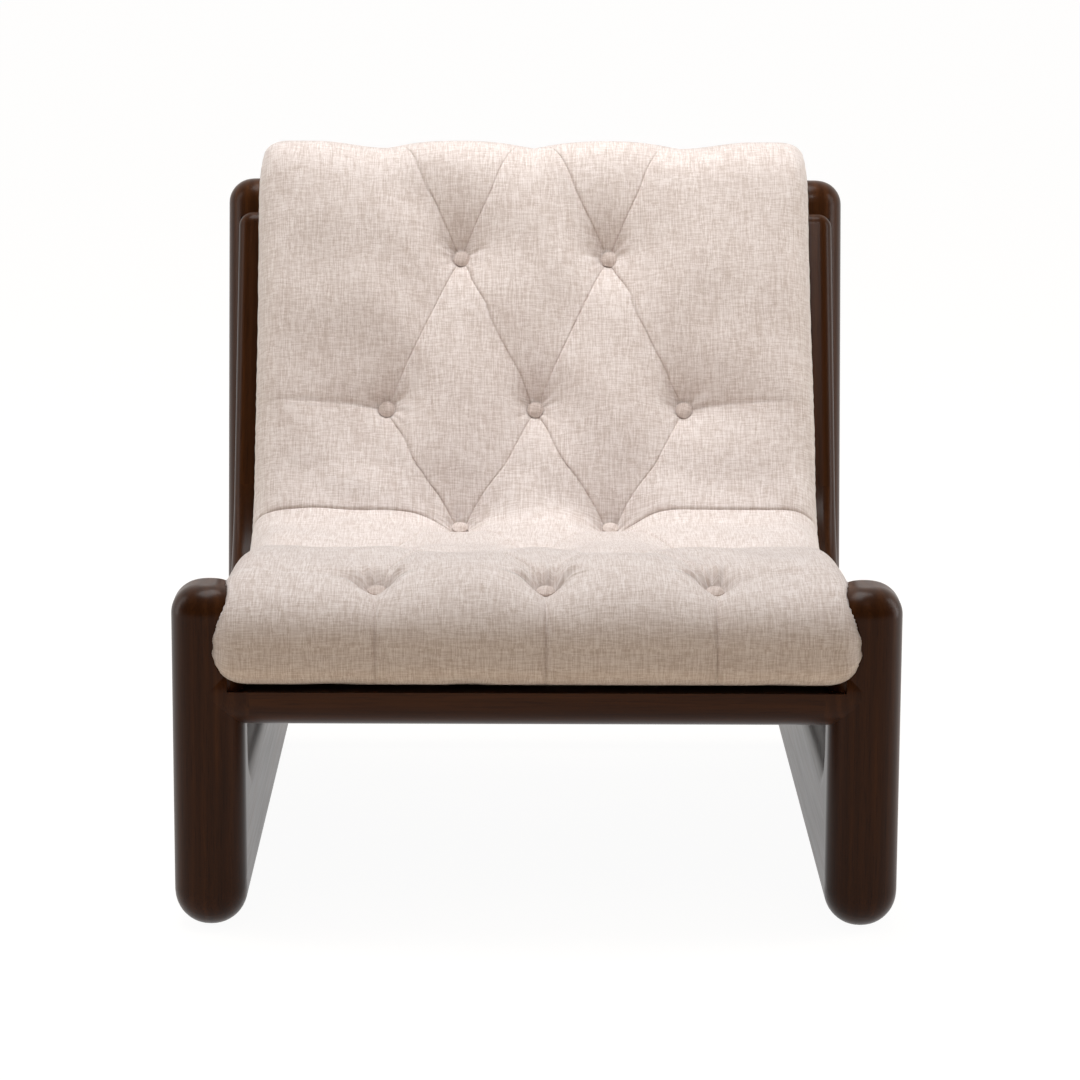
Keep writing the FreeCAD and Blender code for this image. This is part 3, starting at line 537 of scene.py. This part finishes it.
def seat_crease_depth(across, run):
    """Dip where the seat turns up into the back, with a fold past the crease buttons."""
    fold_start_length = 0.03
    beside = ease((np.abs(across) - column) / fold_start_length)
    gap = run - fold_run(across)
    fold = groove(gap, *seat_fold) + groove(gap, *seat_valley)
    return pit(run - row_run(crease_row), *seat_dip) + fold * beside


def hollow_depth(across, run):
    """How far the face lies under its crown between and around the tufts."""
    ahead = np.maximum(front_row - run, 0.0)
    front_fade = 1 - hollow_fade * ease(ahead / front_hollow_length)
    side_fade = 1 - hollow_fade * ease(past_columns(across))
    broad = hollow_share * tuft_depth(run) * (1 - tuft_rise(across, run)) * side_fade * front_fade
    broad = broad + side_seam_depth(across, run)
    return broad + front_seam_depth(across, run) + seat_crease_depth(across, run)


def seat_swell(run):
    """The seat stands fullest behind its front buttons and sinks in its middle."""
    swell_start, swell_length = 0.45, 0.75
    sunk_row, sunk_reach = 2.0, 0.60
    row = row_of(run)
    swell = swell_height * (1 - ease((row - swell_start) / swell_length))
    return swell - pit(row - sunk_row, swell_height, sunk_reach, 2)


def front_button_pit(dx, dr, far, behind):
    """Depth round a front button, steep behind it and soft ahead, and of its opening seam."""
    open_start, open_length = 0.016, 0.020
    fade, fade_length = 0.85, 0.070
    soft = pit(far, *front_soft_pit)
    steep = pit(far, *front_steep_pit)
    opening = ease((open_start - dr) / open_length) * (1 - fade * ease(-dr / fade_length))
    depth, reach, steepness = front_open_pit
    return soft + (steep - soft) * behind, pit(np.abs(dx), depth * opening, reach, steepness)


def button_funnel(across, run):
    """Depth that each button pulls down round itself, with pleats running into it."""
    near_far, behind_rate = 0.002, 0.7
    share, behind_share = 0.52, 0.20
    reach, behind_reach = 0.022, 0.007
    depth = np.zeros_like(across)
    rng = np.random.RandomState(7)
    for place_x, place_run in button_places():
        dx = across - place_x
        dr = run - place_run
        far = np.hypot(dx, dr)
        turn = np.arctan2(dr, dx)
        pleats = np.zeros_like(across)
        for count, weight in button_pleats:
            pleats += weight * np.cos(count * turn + rng.uniform(0, 2 * math.pi))
        behind = ease(dr / (far + near_far) * behind_rate + 0.5)
        if in_front_row(place_run):
            funnel, seam = front_button_pit(dx, dr, far, behind)
            behind_size, ahead_size, width = 0.0021, 0.0002, 0.014
        else:
            room = min(1.0, 1.0 + float(seat_swell(np.array(place_run))) / funnel_room)
            deep = (share + behind_share * behind) * button_depth * room
            funnel, seam = pit(far, deep, reach + behind_reach * behind, funnel_steepness), 0.0
            behind_size, ahead_size, width = 0.0008, 0.0005, 0.011
        size = np.where(dr > 0, behind_size, ahead_size)
        depth += funnel
        depth += pit(far - pleat_ring, size * pleats, width, 2)
        depth += seam
    return depth


def socket_height(across, run):
    """Steep wall of cloth round each button, and the bed that the button sits on."""
    height = np.full_like(across, 1.0)
    bed = np.full_like(across, -1.0)
    for place_x, place_run in button_places():
        dr = run - place_run
        far = np.hypot(across - place_x, dr)
        tilt = math.tan(front_button_tilt) * dr if in_front_row(place_run) else 0.0
        floor = cushion_height - tuft_depth(place_run) - socket_depth + tilt
        wall = floor + np.maximum(far - button_radius - socket_gap, 0.0) * socket_slope
        height = np.minimum(height, np.where(far < socket_reach, wall, 1.0))
        bed = np.where(far < button_radius, np.maximum(bed, floor), bed)
    return height, bed


def half_width_change(run):
    """How much the cushion is drawn in towards the top of the back, and out at the front."""
    front_start, front_length = front_row + 0.13, 0.18
    back_start, back_length = 0.02, 0.20
    front = ease((front_start - run) / front_length)
    back = ease((run - back_start) / back_length)
    return front_widening * front - back_narrowing * back


def gathers(across, run):
    """Puckers out and in along the side seam, and the pleats of the front corners."""
    pucker, front_pucker, sway = 0.0004, 0.0009, 2.2
    near = groove(np.abs(across) - side_flat - side_arc, 1.0, pucker_reach)
    uneven = sway * waves(across * 0, run, seed=5, size=0.05)
    ripple = np.sin(run * 2 * math.pi / pucker_pitch + uneven)
    inward = side_flat + side_arc - np.abs(across)
    pleats = np.zeros_like(across)
    for start, slope, depth in side_pleats:
        gap = run - (front_row - start - side_pleat_offset * np.sign(across)) - slope * inward
        pleats += pit(inward, groove(gap, depth, side_pleat_width), side_pleat_reach, 2)
    return near * ripple * (pucker + front_pucker * near_front(run)) - pleats


def plan_place(across, run, under):
    """Place across and travel of a point of the cloth, and its share of the full height."""
    side_length, shift_length, seam_length, channel_length = 0.10, 0.35, 0.05, 0.06
    power = base_power if under else face_power
    side_power = np.full_like(run, power)
    if not under:
        side_power = power + (corner_power - power) * near_front(run)
    side_turn = roll_turn(np.abs(across) - side_flat, side_arc)
    ahead_turn = front_turn(run)
    top_turn = roll_turn(run - top_start, top_arc)
    side = fullness(np.sin(side_turn), side_power)
    front = np.sin(ahead_turn)
    top = fullness(np.sin(top_turn), power)
    side_in = side * np.sqrt(1 - corner_at_front * front ** 2 - corner_at_top * top ** 2)
    front_in = front * np.sqrt(1 - end_rounding * side ** 4)
    top_in = top * np.sqrt(1 - end_rounding * side ** 4)

    seam = groove(np.abs(across) - side_flat - side_arc, *rim_seam) - gathers(across, run)
    x = np.minimum(np.abs(across), side_flat) + side_reach * side_in - seam
    x = x + half_width_change(run) * ease((np.abs(across) - last_column) / side_length)
    x = x * np.sign(across) + drift(across, run) - back_shift * ease(run / shift_length)

    # On the base, the seams draw in only the edge of the front roll, and the top
    drawn = np.where(run < 0, front ** 6, 1.0) if under else 1.0
    seams = groove(across, *roll_seam) + groove(np.abs(across) - last_column, *roll_seam)
    ahead = front_row - run
    channel = seam_channel * end_channel(across) * drawn + seams * ease(ahead / seam_length)
    travel = np.clip(run, front_row + crest_start, top_start)
    travel = travel - (front_reach - channel * ease(ahead / channel_length)) * front_in
    travel = travel + (top_reach - channel) * top_in

    ahead_power = base_roll_power if under else roll_power
    share = fullness(np.cos(side_turn), side_power) * fullness(np.cos(top_turn), power)
    share = share * fullness(np.cos(ahead_turn), ahead_power)
    return x, travel, share


def rebate_drop(travel):
    """The base sinks into the rail's rebate at the front."""
    start, length = front_row + 0.100, 0.070
    return rebate_dip * ease((start - travel) / length)


def press_against_legs(points):
    """Holds the sides of the cushion back to the rounded inner faces of the front legs."""
    along = np.abs(points[:, 1] - (front_y + leg_depth / 2))
    rise = np.clip(points[:, 2] - (leg_high[2] - leg_top_round), 0.0, leg_top_round)
    round_in = leg_top_round - np.sqrt(leg_top_round ** 2 - rise ** 2)
    over = np.maximum(along - (leg_depth / 2 - member_round), 0.0)
    reach = (member_round - round_in) ** 2 - over ** 2
    inner = leg_half - member_round + np.sqrt(np.maximum(reach, 0.0))
    side = np.abs(points[:, 0])
    held = (reach > 0) & (rise < leg_top_round)
    limit = np.minimum(side, leg_middle_x - inner - press_gap)
    points[:, 0] = np.sign(points[:, 0]) * np.where(held, limit, side)
    return points


def cushion_point(across, run, under):
    """Points of the cushion's cloth, on the face or on the base."""
    x, travel, share = plan_place(across, run, under)
    middle = edge_height(run)
    if under:
        sag = base_wave * waves(across, run, seed=21, size=0.12)
        sag = sag * ease((side_flat - np.abs(across)) / 0.05)
        low = base_clearance - rebate_drop(travel) + np.maximum(sag, 0.0)
        height = middle - (middle - low) * share
    else:
        crown = cushion_height + seat_swell(run) + face_wave * waves(across, run, seed=3, size=0.10)
        crown = crown - hollow_depth(across, run) - crease_depth(across, run)
        crown = crown - button_funnel(across, run)
        wall, bed = socket_height(across, run)
        height = np.maximum(np.minimum(middle + (crown - middle) * share, wall), bed)
    return press_against_legs(over_deck(x, travel, height))


def plain_point(across, run, under):
    """Points of the cloth without its tufts, folds and creases."""
    x, travel, share = plan_place(across, run, under)
    full = base_clearance if under else cushion_height + seat_swell(run)
    middle = edge_height(run)
    return over_deck(x, travel, middle + (full - middle) * share)


def laid_out(places, points):
    """Length of cloth from place 0 to each of the places."""
    steps = np.linalg.norm(np.diff(points, axis=0), axis=1)
    lengths = np.concatenate([[0.0], np.cumsum(steps)])
    return lengths - np.interp(0.0, places, lengths)


def cloth_places(across, run, under):
    """Places on the flat cloth, whose threads keep their size round the edges."""
    measured_run, column_count = -0.25, 401
    measured_column, row_line_count = column / 2, 601
    reach = side_flat + side_arc
    columns = np.linspace(-reach, reach, column_count)
    wide = laid_out(columns, plain_point(columns, np.full_like(columns, measured_run), under))
    rows = np.linspace(run.min(), run.max(), row_line_count)
    long = laid_out(rows, plain_point(np.full_like(rows, measured_column), rows, under))
    return np.stack([np.interp(across, columns, wide), np.interp(run, rows, long)], axis=-1)


def column_stations():
    """Places across the cushion: close beside the button columns and round the sides."""
    close = 0.014
    near = np.linspace(0, close, 12)
    between = np.linspace(close, column - close, 17)
    pitch = np.concatenate([near[:-1], between, column - near[::-1][1:]])
    inner = np.concatenate([pitch[:-1], column + pitch])
    past = np.concatenate([near[1:-1], np.linspace(close, side_flat - last_column, 20)])
    side = side_flat + side_arc * np.sin(np.linspace(0, math.pi / 2, 27))[1:]
    half = np.concatenate([inner, last_column + past, side])
    return np.concatenate([-half[::-1][:-1], half])


def band_shares(count):
    """Shares of a band from 0 to 1, closer together at both ends."""
    return (1 - np.cos(np.linspace(0, math.pi, count + 1))) / 2


def face_lines(across):
    """Runs of the face's mesh lines, which lie along the creases and close up at the buttons."""
    front_edge = np.full_like(across, front_row - front_arc)
    front_line = np.full_like(across, front_row)
    top_edge = np.full_like(across, top_end)
    creases = [crease_run(row, across) for row in range(row_count)]
    creases.insert(crease_row, fold_run(across))
    borders = [front_line] + [np.minimum(crease, top_edge) for crease in creases] + [top_edge]
    shares = 1 - np.sin(np.linspace(math.pi / 2, 0, front_line_count))
    lines = [front_edge + (front_line - front_edge) * share for share in shares[:-1]]
    for here, after in zip(borders[:-1], borders[1:]):
        for share in band_shares(band_line_count)[:-1]:
            lines.append(np.minimum(here + (after - here) * share, top_edge))
    lines.append(top_edge)
    return np.array(lines)


def weld_lines(lines):
    """Number of the first line that holds each point, where lines close up into one."""
    owner = np.tile(np.arange(lines.shape[0])[:, None], (1, lines.shape[1]))
    same = np.abs(np.diff(lines, axis=0)) < weld_distance
    for line in range(1, lines.shape[0]):
        owner[line] = np.where(same[line - 1], owner[line - 1], owner[line])
    return owner


def add_faces(index, flip, faces, cloth, places):
    """Quads and triangles between neighbouring lines, without those that closed up."""
    for line in range(len(index) - 1):
        low, high = index[line], index[line + 1]
        low_places, high_places = places[line], places[line + 1]
        for step in range(len(low) - 1):
            ring = (low[step], low[step + 1], high[step + 1], high[step])
            spots = (low_places[step], low_places[step + 1], high_places[step + 1], high_places[step])
            kept = [i for i in range(4) if ring[i] != ring[i - 1]]
            if len(kept) < 3:
                continue
            if flip:
                kept.reverse()
            faces.append([ring[i] for i in kept])
            cloth.extend(spots[i] for i in kept)


def new_piece(name, points, faces, cloth):
    """Smooth mesh object with a map of its cloth in metres."""
    mesh = bpy.data.meshes.new(name)
    mesh.from_pydata(points.tolist(), [], faces)
    layer = mesh.uv_layers.new(name="cloth")
    layer.data.foreach_set("uv", np.array(cloth, dtype=np.float32).ravel())
    mesh.polygons.foreach_set("use_smooth", [True] * len(mesh.polygons))
    mesh.update()
    piece = add_object(name, mesh)
    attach(piece, "root")
    return piece


def closed_form(name, top_points, base_points, top_places, base_places, top_index, base_rows):
    """Joins a top sheet and a base sheet along their border into one closed mesh."""
    count_x = top_index.shape[1]
    base_index = len(top_points) + np.arange(len(base_points)).reshape(-1, count_x)
    base_index[:, 0] = top_index[base_rows, 0]
    base_index[:, -1] = top_index[base_rows, -1]
    base_index[0, :] = top_index[0, :]
    base_index[-1, :] = top_index[-1, :]
    points = np.concatenate([top_points, base_points])
    faces = []
    cloth = []
    add_faces(top_index.tolist(), False, faces, cloth, top_places.tolist())
    add_faces(base_index.tolist(), True, faces, cloth, base_places.tolist())
    used = np.zeros(len(points), bool)
    used[np.fromiter((i for face in faces for i in face), int)] = True
    renumber = (np.cumsum(used) - 1).tolist()
    faces = [[renumber[i] for i in face] for face in faces]
    return new_piece(name, points[used], faces, cloth)


def build_cushion():
    """One closed mesh: the tufted face and the base, joined round their edge."""
    across = column_stations()
    lines = face_lines(across)
    owner = weld_lines(lines)
    count_x = len(across)
    grid_x = np.tile(across, (lines.shape[0], 1))
    face_points = cushion_point(grid_x.ravel(), lines.ravel(), under=False)
    face_index = owner * count_x + np.arange(count_x)[None, :]
    base_rows = [line for line in range(lines.shape[0]) if owner[line, 0] == line]
    base_x = np.tile(across, (len(base_rows), 1))
    base_run = np.tile(lines[base_rows, 0][:, None], (1, count_x))
    base_points = cushion_point(base_x.ravel(), base_run.ravel(), under=True)
    face_places = cloth_places(grid_x, lines, under=False)
    base_places = cloth_places(base_x, base_run, under=True)
    return closed_form(
        "tufted_cushion", face_points, base_points, face_places, base_places, face_index, base_rows
    )


def foam_point(across, run, front, back, under):
    """Points of a foam slab with soft edges, on its top or on its base."""
    reach_x = np.clip((np.abs(across) - (core_half - core_edge)) / core_edge, 0, 1)
    past_end = np.maximum(front + core_edge - run, run - back + core_edge)
    reach_run = np.clip(past_end / core_edge, 0, 1)
    drop = core_edge * (1 - np.sqrt(np.maximum((1 - reach_x ** 2) * (1 - reach_run ** 2), 0)))
    rough = foam_wave * waves(across, run, seed=31, size=0.03)
    height = core_low + drop if under else core_high - drop - core_slack + rough
    return over_deck(across, run, height)


def build_foam(name, front, back):
    """Foam slab that follows the deck between two travels."""
    rim = core_half * np.sin(np.linspace(0, math.pi / 2, 40))
    across = np.concatenate([-rim[::-1][:-1], rim])
    along = (front + back) / 2 - (back - front) / 2 * np.cos(np.linspace(0, math.pi, 90))
    grid_x = np.tile(across, (len(along), 1))
    grid_run = np.tile(along[:, None], (1, len(across)))
    top = foam_point(grid_x.ravel(), grid_run.ravel(), front, back, under=False)
    base = foam_point(grid_x.ravel(), grid_run.ravel(), front, back, under=True)
    places = np.stack([grid_x, grid_run], axis=-1)
    index = np.arange(grid_x.size).reshape(grid_x.shape)
    return closed_form(name, top, base, places, places, index, list(range(len(along))))


def button_profile():
    """Half outline of a covered button as radius and height, from its middle to its back."""
    lift, side_inset, back_inset, back_level = 0.0002, 0.0001, 0.0006, 0.0002
    outline = []
    inner = button_radius - button_edge
    for share in np.linspace(0, 1, 9):
        outline.append((inner * share, button_rim + button_dome * (1 - share ** 2.2) + lift))
    for turn in np.linspace(0.35, 1.0, 6) * math.pi / 2:
        level = button_rim + button_edge * math.cos(turn) - button_edge / 2
        outline.append((inner + button_edge * math.sin(turn), level))
    outline.append((button_radius - side_inset, button_rim * 0.5))
    outline.append((button_radius - back_inset, back_level))
    outline.append((button_radius * 0.5, 0.0))
    return outline


def button_pose(place_x, place_run):
    """Place and lean of a button; the front ones lean further forward."""
    foot_y, foot_z, normal_y, normal_z = deck_frame(np.array(place_run))
    height = cushion_height - float(tuft_depth(place_run)) - socket_depth
    x = place_x + float(drift(np.array(place_x), np.array(place_run)))
    seat = Vector((x, float(foot_y + height * normal_y), float(foot_z + height * normal_z)))
    row_tilt = front_button_tilt if in_front_row(place_run) else 0.0
    lean = math.atan2(-float(normal_y), float(normal_z)) + row_tilt
    return Matrix.Translation(seat) @ Matrix.Rotation(lean, 4, "X")


def button_spots(outline, spin, shift):
    """Places on the flat cloth of each ring of a button, with the first rib again at the end."""
    spots = []
    for radius, level in outline:
        far = radius + max(button_rim - level, 0.0)
        turns = [2 * math.pi * rib / button_ribs + spin * 0.1 for rib in range(button_ribs + 1)]
        spots.append([
            (shift[0] + far * math.cos(turn), shift[1] + far * math.sin(turn)) for turn in turns
        ])
    return spots


def add_button(outline, pose, spin, points):
    """Points of one button: its middle, its rings and its back; their first and last number."""
    first = len(points)
    points.append(pose @ Vector((0, 0, outline[0][1])))
    for radius, level in outline[1:]:
        pucker = button_pucker if level < button_rim else 0.0
        for rib in range(button_ribs):
            turn = 2 * math.pi * rib / button_ribs
            wide = radius + pucker * math.cos(9 * turn + spin)
            points.append(pose @ Vector((wide * math.cos(turn), wide * math.sin(turn), level)))
    points.append(pose @ Vector((0, 0, 0)))
    return first, len(points) - 1


def build_buttons():
    """All covered buttons as one piece, each turned a little its own way."""
    outline = button_profile()
    rng = np.random.RandomState(19)
    points = []
    faces = []
    cloth = []
    for place_x, place_run in button_places():
        spin = rng.uniform(0, math.pi)
        first, last = add_button(outline, button_pose(place_x, place_run), spin, points)
        shift = np.array([rng.uniform(0, 0.3), rng.uniform(0, 0.3)])
        spots = button_spots(outline, spin, shift)
        for rib in range(button_ribs):
            after = (rib + 1) % button_ribs
            faces.append((first, first + 1 + rib, first + 1 + after))
            cloth.extend([spots[0][rib], spots[1][rib], spots[1][rib + 1]])
            for ring in range(len(outline) - 2):
                here = first + 1 + ring * button_ribs
                under = here + button_ribs
                faces.append((here + rib, under + rib, under + after, here + after))
                upper, lower = spots[ring + 1], spots[ring + 2]
                cloth.extend([upper[rib], lower[rib], lower[rib + 1], upper[rib + 1]])
            here = last - button_ribs
            faces.append((here + rib, last, here + after))
            cloth.extend([spots[-1][rib], spots[0][rib], spots[-1][rib + 1]])
    return new_piece("covered_buttons", np.array([tuple(point) for point in points]), faces, cloth)


# Materials
def shaded(material, values, links):
    """The material with a principled shader of these values and links."""
    tree = material.node_tree
    shader = add_node(tree, "BsdfPrincipled", None, values, links)
    add_node(tree, "OutputMaterial", links={"Surface": shader.outputs["BSDF"]})
    return material


def stretched(tree, source, scale, location=(0, 0, 0), rotation=(0, 0, 0)):
    """The same coordinates turned, scaled and moved."""
    node = add_node(tree, "Mapping", links={"Vector": source})
    node.inputs["Location"].default_value = location
    node.inputs["Rotation"].default_value = rotation
    node.inputs["Scale"].default_value = scale
    return node.outputs["Vector"]


def noise(tree, source, scale, detail=2.0, rough=0.5, distortion=0.0):
    values = {"Scale": scale, "Detail": detail, "Roughness": rough, "Distortion": distortion}
    return add_node(tree, "TexNoise", values=values, links={"Vector": source}).outputs["Fac"]


def ramp(tree, source, stops):
    """Colour ramp with stops given as (place, colour)."""
    node = add_node(tree, "ValToRGB", links={"Fac": source})
    points = node.color_ramp.elements
    while len(points) < len(stops):
        points.new(0.5)
    for point, (place, color) in zip(points, stops):
        point.position = place
        point.color = (*color, 1)
    return node.outputs["Color"]


def multiply_colors(tree, share, first, second):
    node = add_node(tree, "Mix", {"data_type": "RGBA", "blend_type": "MULTIPLY"})
    node.inputs[0].default_value = share
    tree.links.new(first, node.inputs[6])
    tree.links.new(second, node.inputs[7])
    return node.outputs[2]


def bump(tree, height, strength, distance):
    values = {"Strength": strength, "Distance": distance}
    return add_node(tree, "Bump", values=values, links={"Height": height}).outputs["Normal"]


def threads(tree, flat, width, length, way):
    """Tone of each short run of thread in one direction, and the rise across it."""
    parts = add_node(tree, "SeparateXYZ", links={"Vector": flat}).outputs
    side = maths(tree, "MULTIPLY", parts[way], 1 / width)
    number = maths(tree, "FLOOR", side, 0.0)
    along = maths(tree, "MULTIPLY", parts[1 - way], 1 / length)
    stagger = maths(tree, "MULTIPLY", number, 0.618)
    piece = maths(tree, "FLOOR", maths(tree, "ADD", along, stagger), 0.0)
    cell = add_node(tree, "CombineXYZ", None, {"Z": 3.0 + way}, {"X": number, "Y": piece})
    tone = add_node(tree, "TexWhiteNoise", links={"Vector": cell.outputs[0]})
    return tone.outputs["Value"], maths(tree, "PINGPONG", side, 0.5)


def cloth_material(name, light, dark):
    """Slubby weave with a soft pile: threads both ways, uneven in thickness and tone."""
    material, tree = new_material(name)
    flat = add_node(tree, "UVMap", {"uv_map": "cloth"}).outputs["UV"]
    warp, warp_rise = threads(tree, flat, width=0.00084, length=0.011, way=0)
    weft, weft_rise = threads(tree, flat, width=0.00090, length=0.009, way=1)
    slub = noise(tree, stretched(tree, flat, (900, 9, 1), (1, 9, 0)), 1.0, 0.0)
    nap = noise(tree, stretched(tree, flat, (34, 26, 1), (4, 2, 0)), 1.0, 3.0, 0.6)
    knots = noise(tree, stretched(tree, flat, (1300, 1300, 1)), 1.0, 1.0)
    weave = weighted(tree, (warp, 0.56), (weft, 0.44))
    tone = weighted(tree, (weave, 0.76), (slub, 0.18), (nap, 0.06))
    color = ramp(tree, tone, [(0.08, dark), (0.92, light)])
    rise = maths(tree, "MAXIMUM", warp_rise, weft_rise)
    height = maths(tree, "ADD", rise, maths(tree, "MULTIPLY", knots, 0.5))
    return shaded(material, {
        "Roughness": 0.86,
        "Specular IOR Level": 0.18,
        "Sheen Weight": 0.50,
        "Sheen Roughness": 0.38,
        "Sheen Tint": (0.98, 0.97, 0.97, 1),
    }, {"Base Color": color, "Normal": bump(tree, height, 0.55, 0.0005)})


def wood_material(name, turn, seed, tones, gloss):
    """Lacquered wood whose grain runs along a member; turn brings the grain to the local Y."""
    material, tree = new_material(name)
    place = add_node(tree, "TexCoord").outputs["Object"]
    rng = np.random.RandomState(seed)
    shift = tuple(float(value) for value in rng.uniform(-3, 3, 3))
    local = stretched(tree, place, (1, 1, 1), (0, 0, 0), turn)
    sweep = noise(tree, stretched(tree, local, (5, 0.9, 5), shift), 1.0, 2.0)
    figure = noise(tree, stretched(tree, local, (26, 1.6, 26), shift), 1.0, 4.0, 0.6, 0.8)
    streaks = noise(tree, stretched(tree, local, (260, 6, 260), shift), 1.0, 3.0, 0.6)
    pores = noise(tree, stretched(tree, local, (900, 28, 900), shift), 1.0, 1.0)
    rings = add_node(tree, "TexWave", {"wave_type": "BANDS", "bands_direction": "X"}, {
        "Scale": 1.0, "Distortion": 9.0, "Detail": 2.5, "Detail Scale": 0.8,
    }, {"Vector": stretched(tree, local, (22, 1.3, 14), shift)}).outputs["Fac"]
    tone = weighted(tree, (figure, 0.42), (rings, 0.12), (streaks, 0.22), (sweep, 0.24))
    color = ramp(tree, tone, [(0.30, tones[0]), (0.52, tones[1]), (0.74, tones[2])])
    dark_pores = ramp(tree, pores, [(0.30, (0.55, 0.5, 0.45)), (0.46, (1, 1, 1))])
    roughness = maths(tree, "ADD", maths(tree, "MULTIPLY", streaks, 0.12), gloss)
    height = weighted(tree, (pores, 0.6), (streaks, 0.4))
    return shaded(material, {
        "Specular IOR Level": 0.10,
        "Coat Weight": 0.02,
        "Coat Roughness": 0.15,
    }, {
        "Base Color": multiply_colors(tree, 0.6, color, dark_pores),
        "Roughness": roughness,
        "Normal": bump(tree, height, 0.12, 0.0004),
    })


def simple_material(name, light, dark, scale, rough, depth, values):
    """Material for small parts: two tones, uneven gloss and a fine surface."""
    material, tree = new_material(name)
    place = add_node(tree, "TexCoord").outputs["Object"]
    grain = noise(tree, stretched(tree, place, (scale, scale, scale)), 1.0, 3.0, 0.6)
    patch = noise(tree, stretched(tree, place, (60, 60, 60)), 1.0, 2.0)
    color = ramp(tree, weighted(tree, (grain, 0.6), (patch, 0.4)), [(0.35, dark), (0.65, light)])
    return shaded(material, values, {
        "Base Color": color,
        "Roughness": maths(tree, "ADD", maths(tree, "MULTIPLY", patch, 0.2), rough),
        "Normal": bump(tree, grain, 0.5, depth),
    })


def foam_material():
    material, tree = new_material("foam")
    place = add_node(tree, "TexCoord").outputs["Object"]
    cells = add_node(tree, "TexVoronoi", None, {"Scale": 650.0}, {"Vector": place})
    tone = noise(tree, place, 18.0, 2.0)
    color = ramp(tree, tone, [(0.3, (0.70, 0.62, 0.42)), (0.7, (0.80, 0.74, 0.55))])
    return shaded(material, {"Roughness": 0.95, "Specular IOR Level": 0.1}, {
        "Base Color": color,
        "Normal": bump(tree, cells.outputs["Distance"], 0.8, 0.0008),
    })


def twine_material():
    material, tree = new_material("twine")
    place = add_node(tree, "TexCoord").outputs["Object"]
    twist = add_node(
        tree, "TexWave", {"bands_direction": "DIAGONAL"}, {"Scale": 420.0}, {"Vector": place}
    ).outputs["Fac"]
    color = ramp(tree, twist, [(0.2, (0.50, 0.44, 0.36)), (0.8, (0.74, 0.68, 0.60))])
    return shaded(material, {"Roughness": 0.7}, {
        "Base Color": color,
        "Normal": bump(tree, twist, 0.6, 0.0003),
    })


def paint(node, material):
    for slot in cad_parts[node].material_slots:
        slot.material = material


def along_y(angle):
    """Turn that brings the grain of a member, leaning by an angle up from +Y, to the local Y."""
    return (-angle, 0.0, 0.0)


def paint_wood():
    """Walnut for the frame, duller on the slats, and beech for the tenons; a grain for each."""
    walnut = ((0.0235, 0.0072, 0.0016), (0.0420, 0.0133, 0.0031), (0.0760, 0.0260, 0.0070))
    beech = ((0.42, 0.27, 0.15), (0.55, 0.38, 0.22), (0.64, 0.48, 0.30))
    right_angle = math.pi / 2
    turns = {
        "front_leg": along_y(right_angle),
        "floor_runner": along_y(0.0),
        "rear_post": along_y(right_angle - post_lean),
        "seat_rail": along_y(-seat_slope),
        "knee": along_y((knee_end_angle - seat_slope) / 2),
        "back_stile": along_y(knee_end_angle),
    }
    rails = ("front_rail", "rear_stretcher", "knee_cross_rail", "top_cross_rail")
    slats = ("seat_slats", "knee_slats", "back_slats")
    tenons = ("side_frame_tenons", "inner_frame_tenons", "front_rail_tenons", "stretcher_tenons")
    members = []
    for side in ("right_", "left_"):
        members += [(side + part, turn, walnut, 0.25) for part, turn in turns.items()]
    for parts, tones, gloss in ((rails, walnut, 0.25), (slats, walnut, 0.38), (tenons, beech, 0.5)):
        members += [(part, (0.0, 0.0, right_angle), tones, gloss) for part in parts]
    for seed, (part, turn, tones, gloss) in enumerate(members, start=1):
        paint(part, wood_material(part, turn, seed, tones, gloss))


def paint_small_parts():
    """Metal, felt, zip, anchors and twines; two tones, scale, roughness and depth of each."""
    metal = {"Metallic": 1.0}
    for nodes, name, light, dark, scale, rough, depth, values in (
        (("post_bolts", "runner_bolts", "bolt_washers"), "black_steel",
         (0.060, 0.060, 0.066), (0.030, 0.030, 0.034), 900, 0.32, 0.0001, metal),
        (("threaded_inserts",), "brass",
         (0.70, 0.52, 0.25), (0.50, 0.36, 0.16), 700, 0.25, 0.0001, metal),
        (("zip_slider",), "zip_metal",
         (0.55, 0.53, 0.50), (0.40, 0.38, 0.36), 900, 0.22, 0.0001, metal),
        (("felt_pads",), "felt",
         (0.050, 0.045, 0.040), (0.022, 0.020, 0.018), 1500, 0.8, 0.0008, {"Sheen Weight": 0.3}),
        (("zip_tape",), "zip_cloth",
         (0.50, 0.40, 0.34), (0.36, 0.28, 0.23), 1300, 0.7, 0.0005, {"Sheen Weight": 0.2}),
        (("tuft_anchors",), "anchor_plastic",
         (0.78, 0.77, 0.73), (0.70, 0.69, 0.65), 400, 0.35, 0.0001, {}),
    ):
        material = simple_material(name, light, dark, scale, rough, depth, values)
        for node in nodes:
            paint(node, material)
    paint("tuft_twines", twine_material())


add_camera()
add_world()
add_floor()
add_lamps()
paint_wood()
paint_small_parts()

cushion = build_cushion()
light, dark = (0.835, 0.773, 0.746), (0.505, 0.408, 0.360)
cushion.data.materials.append(cloth_material("upholstery", light, dark))
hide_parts("cushion_cover")

buttons = build_buttons()
light, dark = (0.745, 0.660, 0.622), (0.445, 0.350, 0.300)
buttons.data.materials.append(cloth_material("button_cloth", light, dark))
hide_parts("tuft_buttons")

foam = foam_material()
for name, node, front, back in (
    ("seat_foam", "seat_foam_core", core_front, core_split - core_gap),
    ("back_foam", "back_foam_core", core_split + core_gap, core_back),
):
    core = build_foam(name, front, back)
    core.data.materials.append(foam)
    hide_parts(node)

bpy.context.scene.view_settings.view_transform = "Standard"
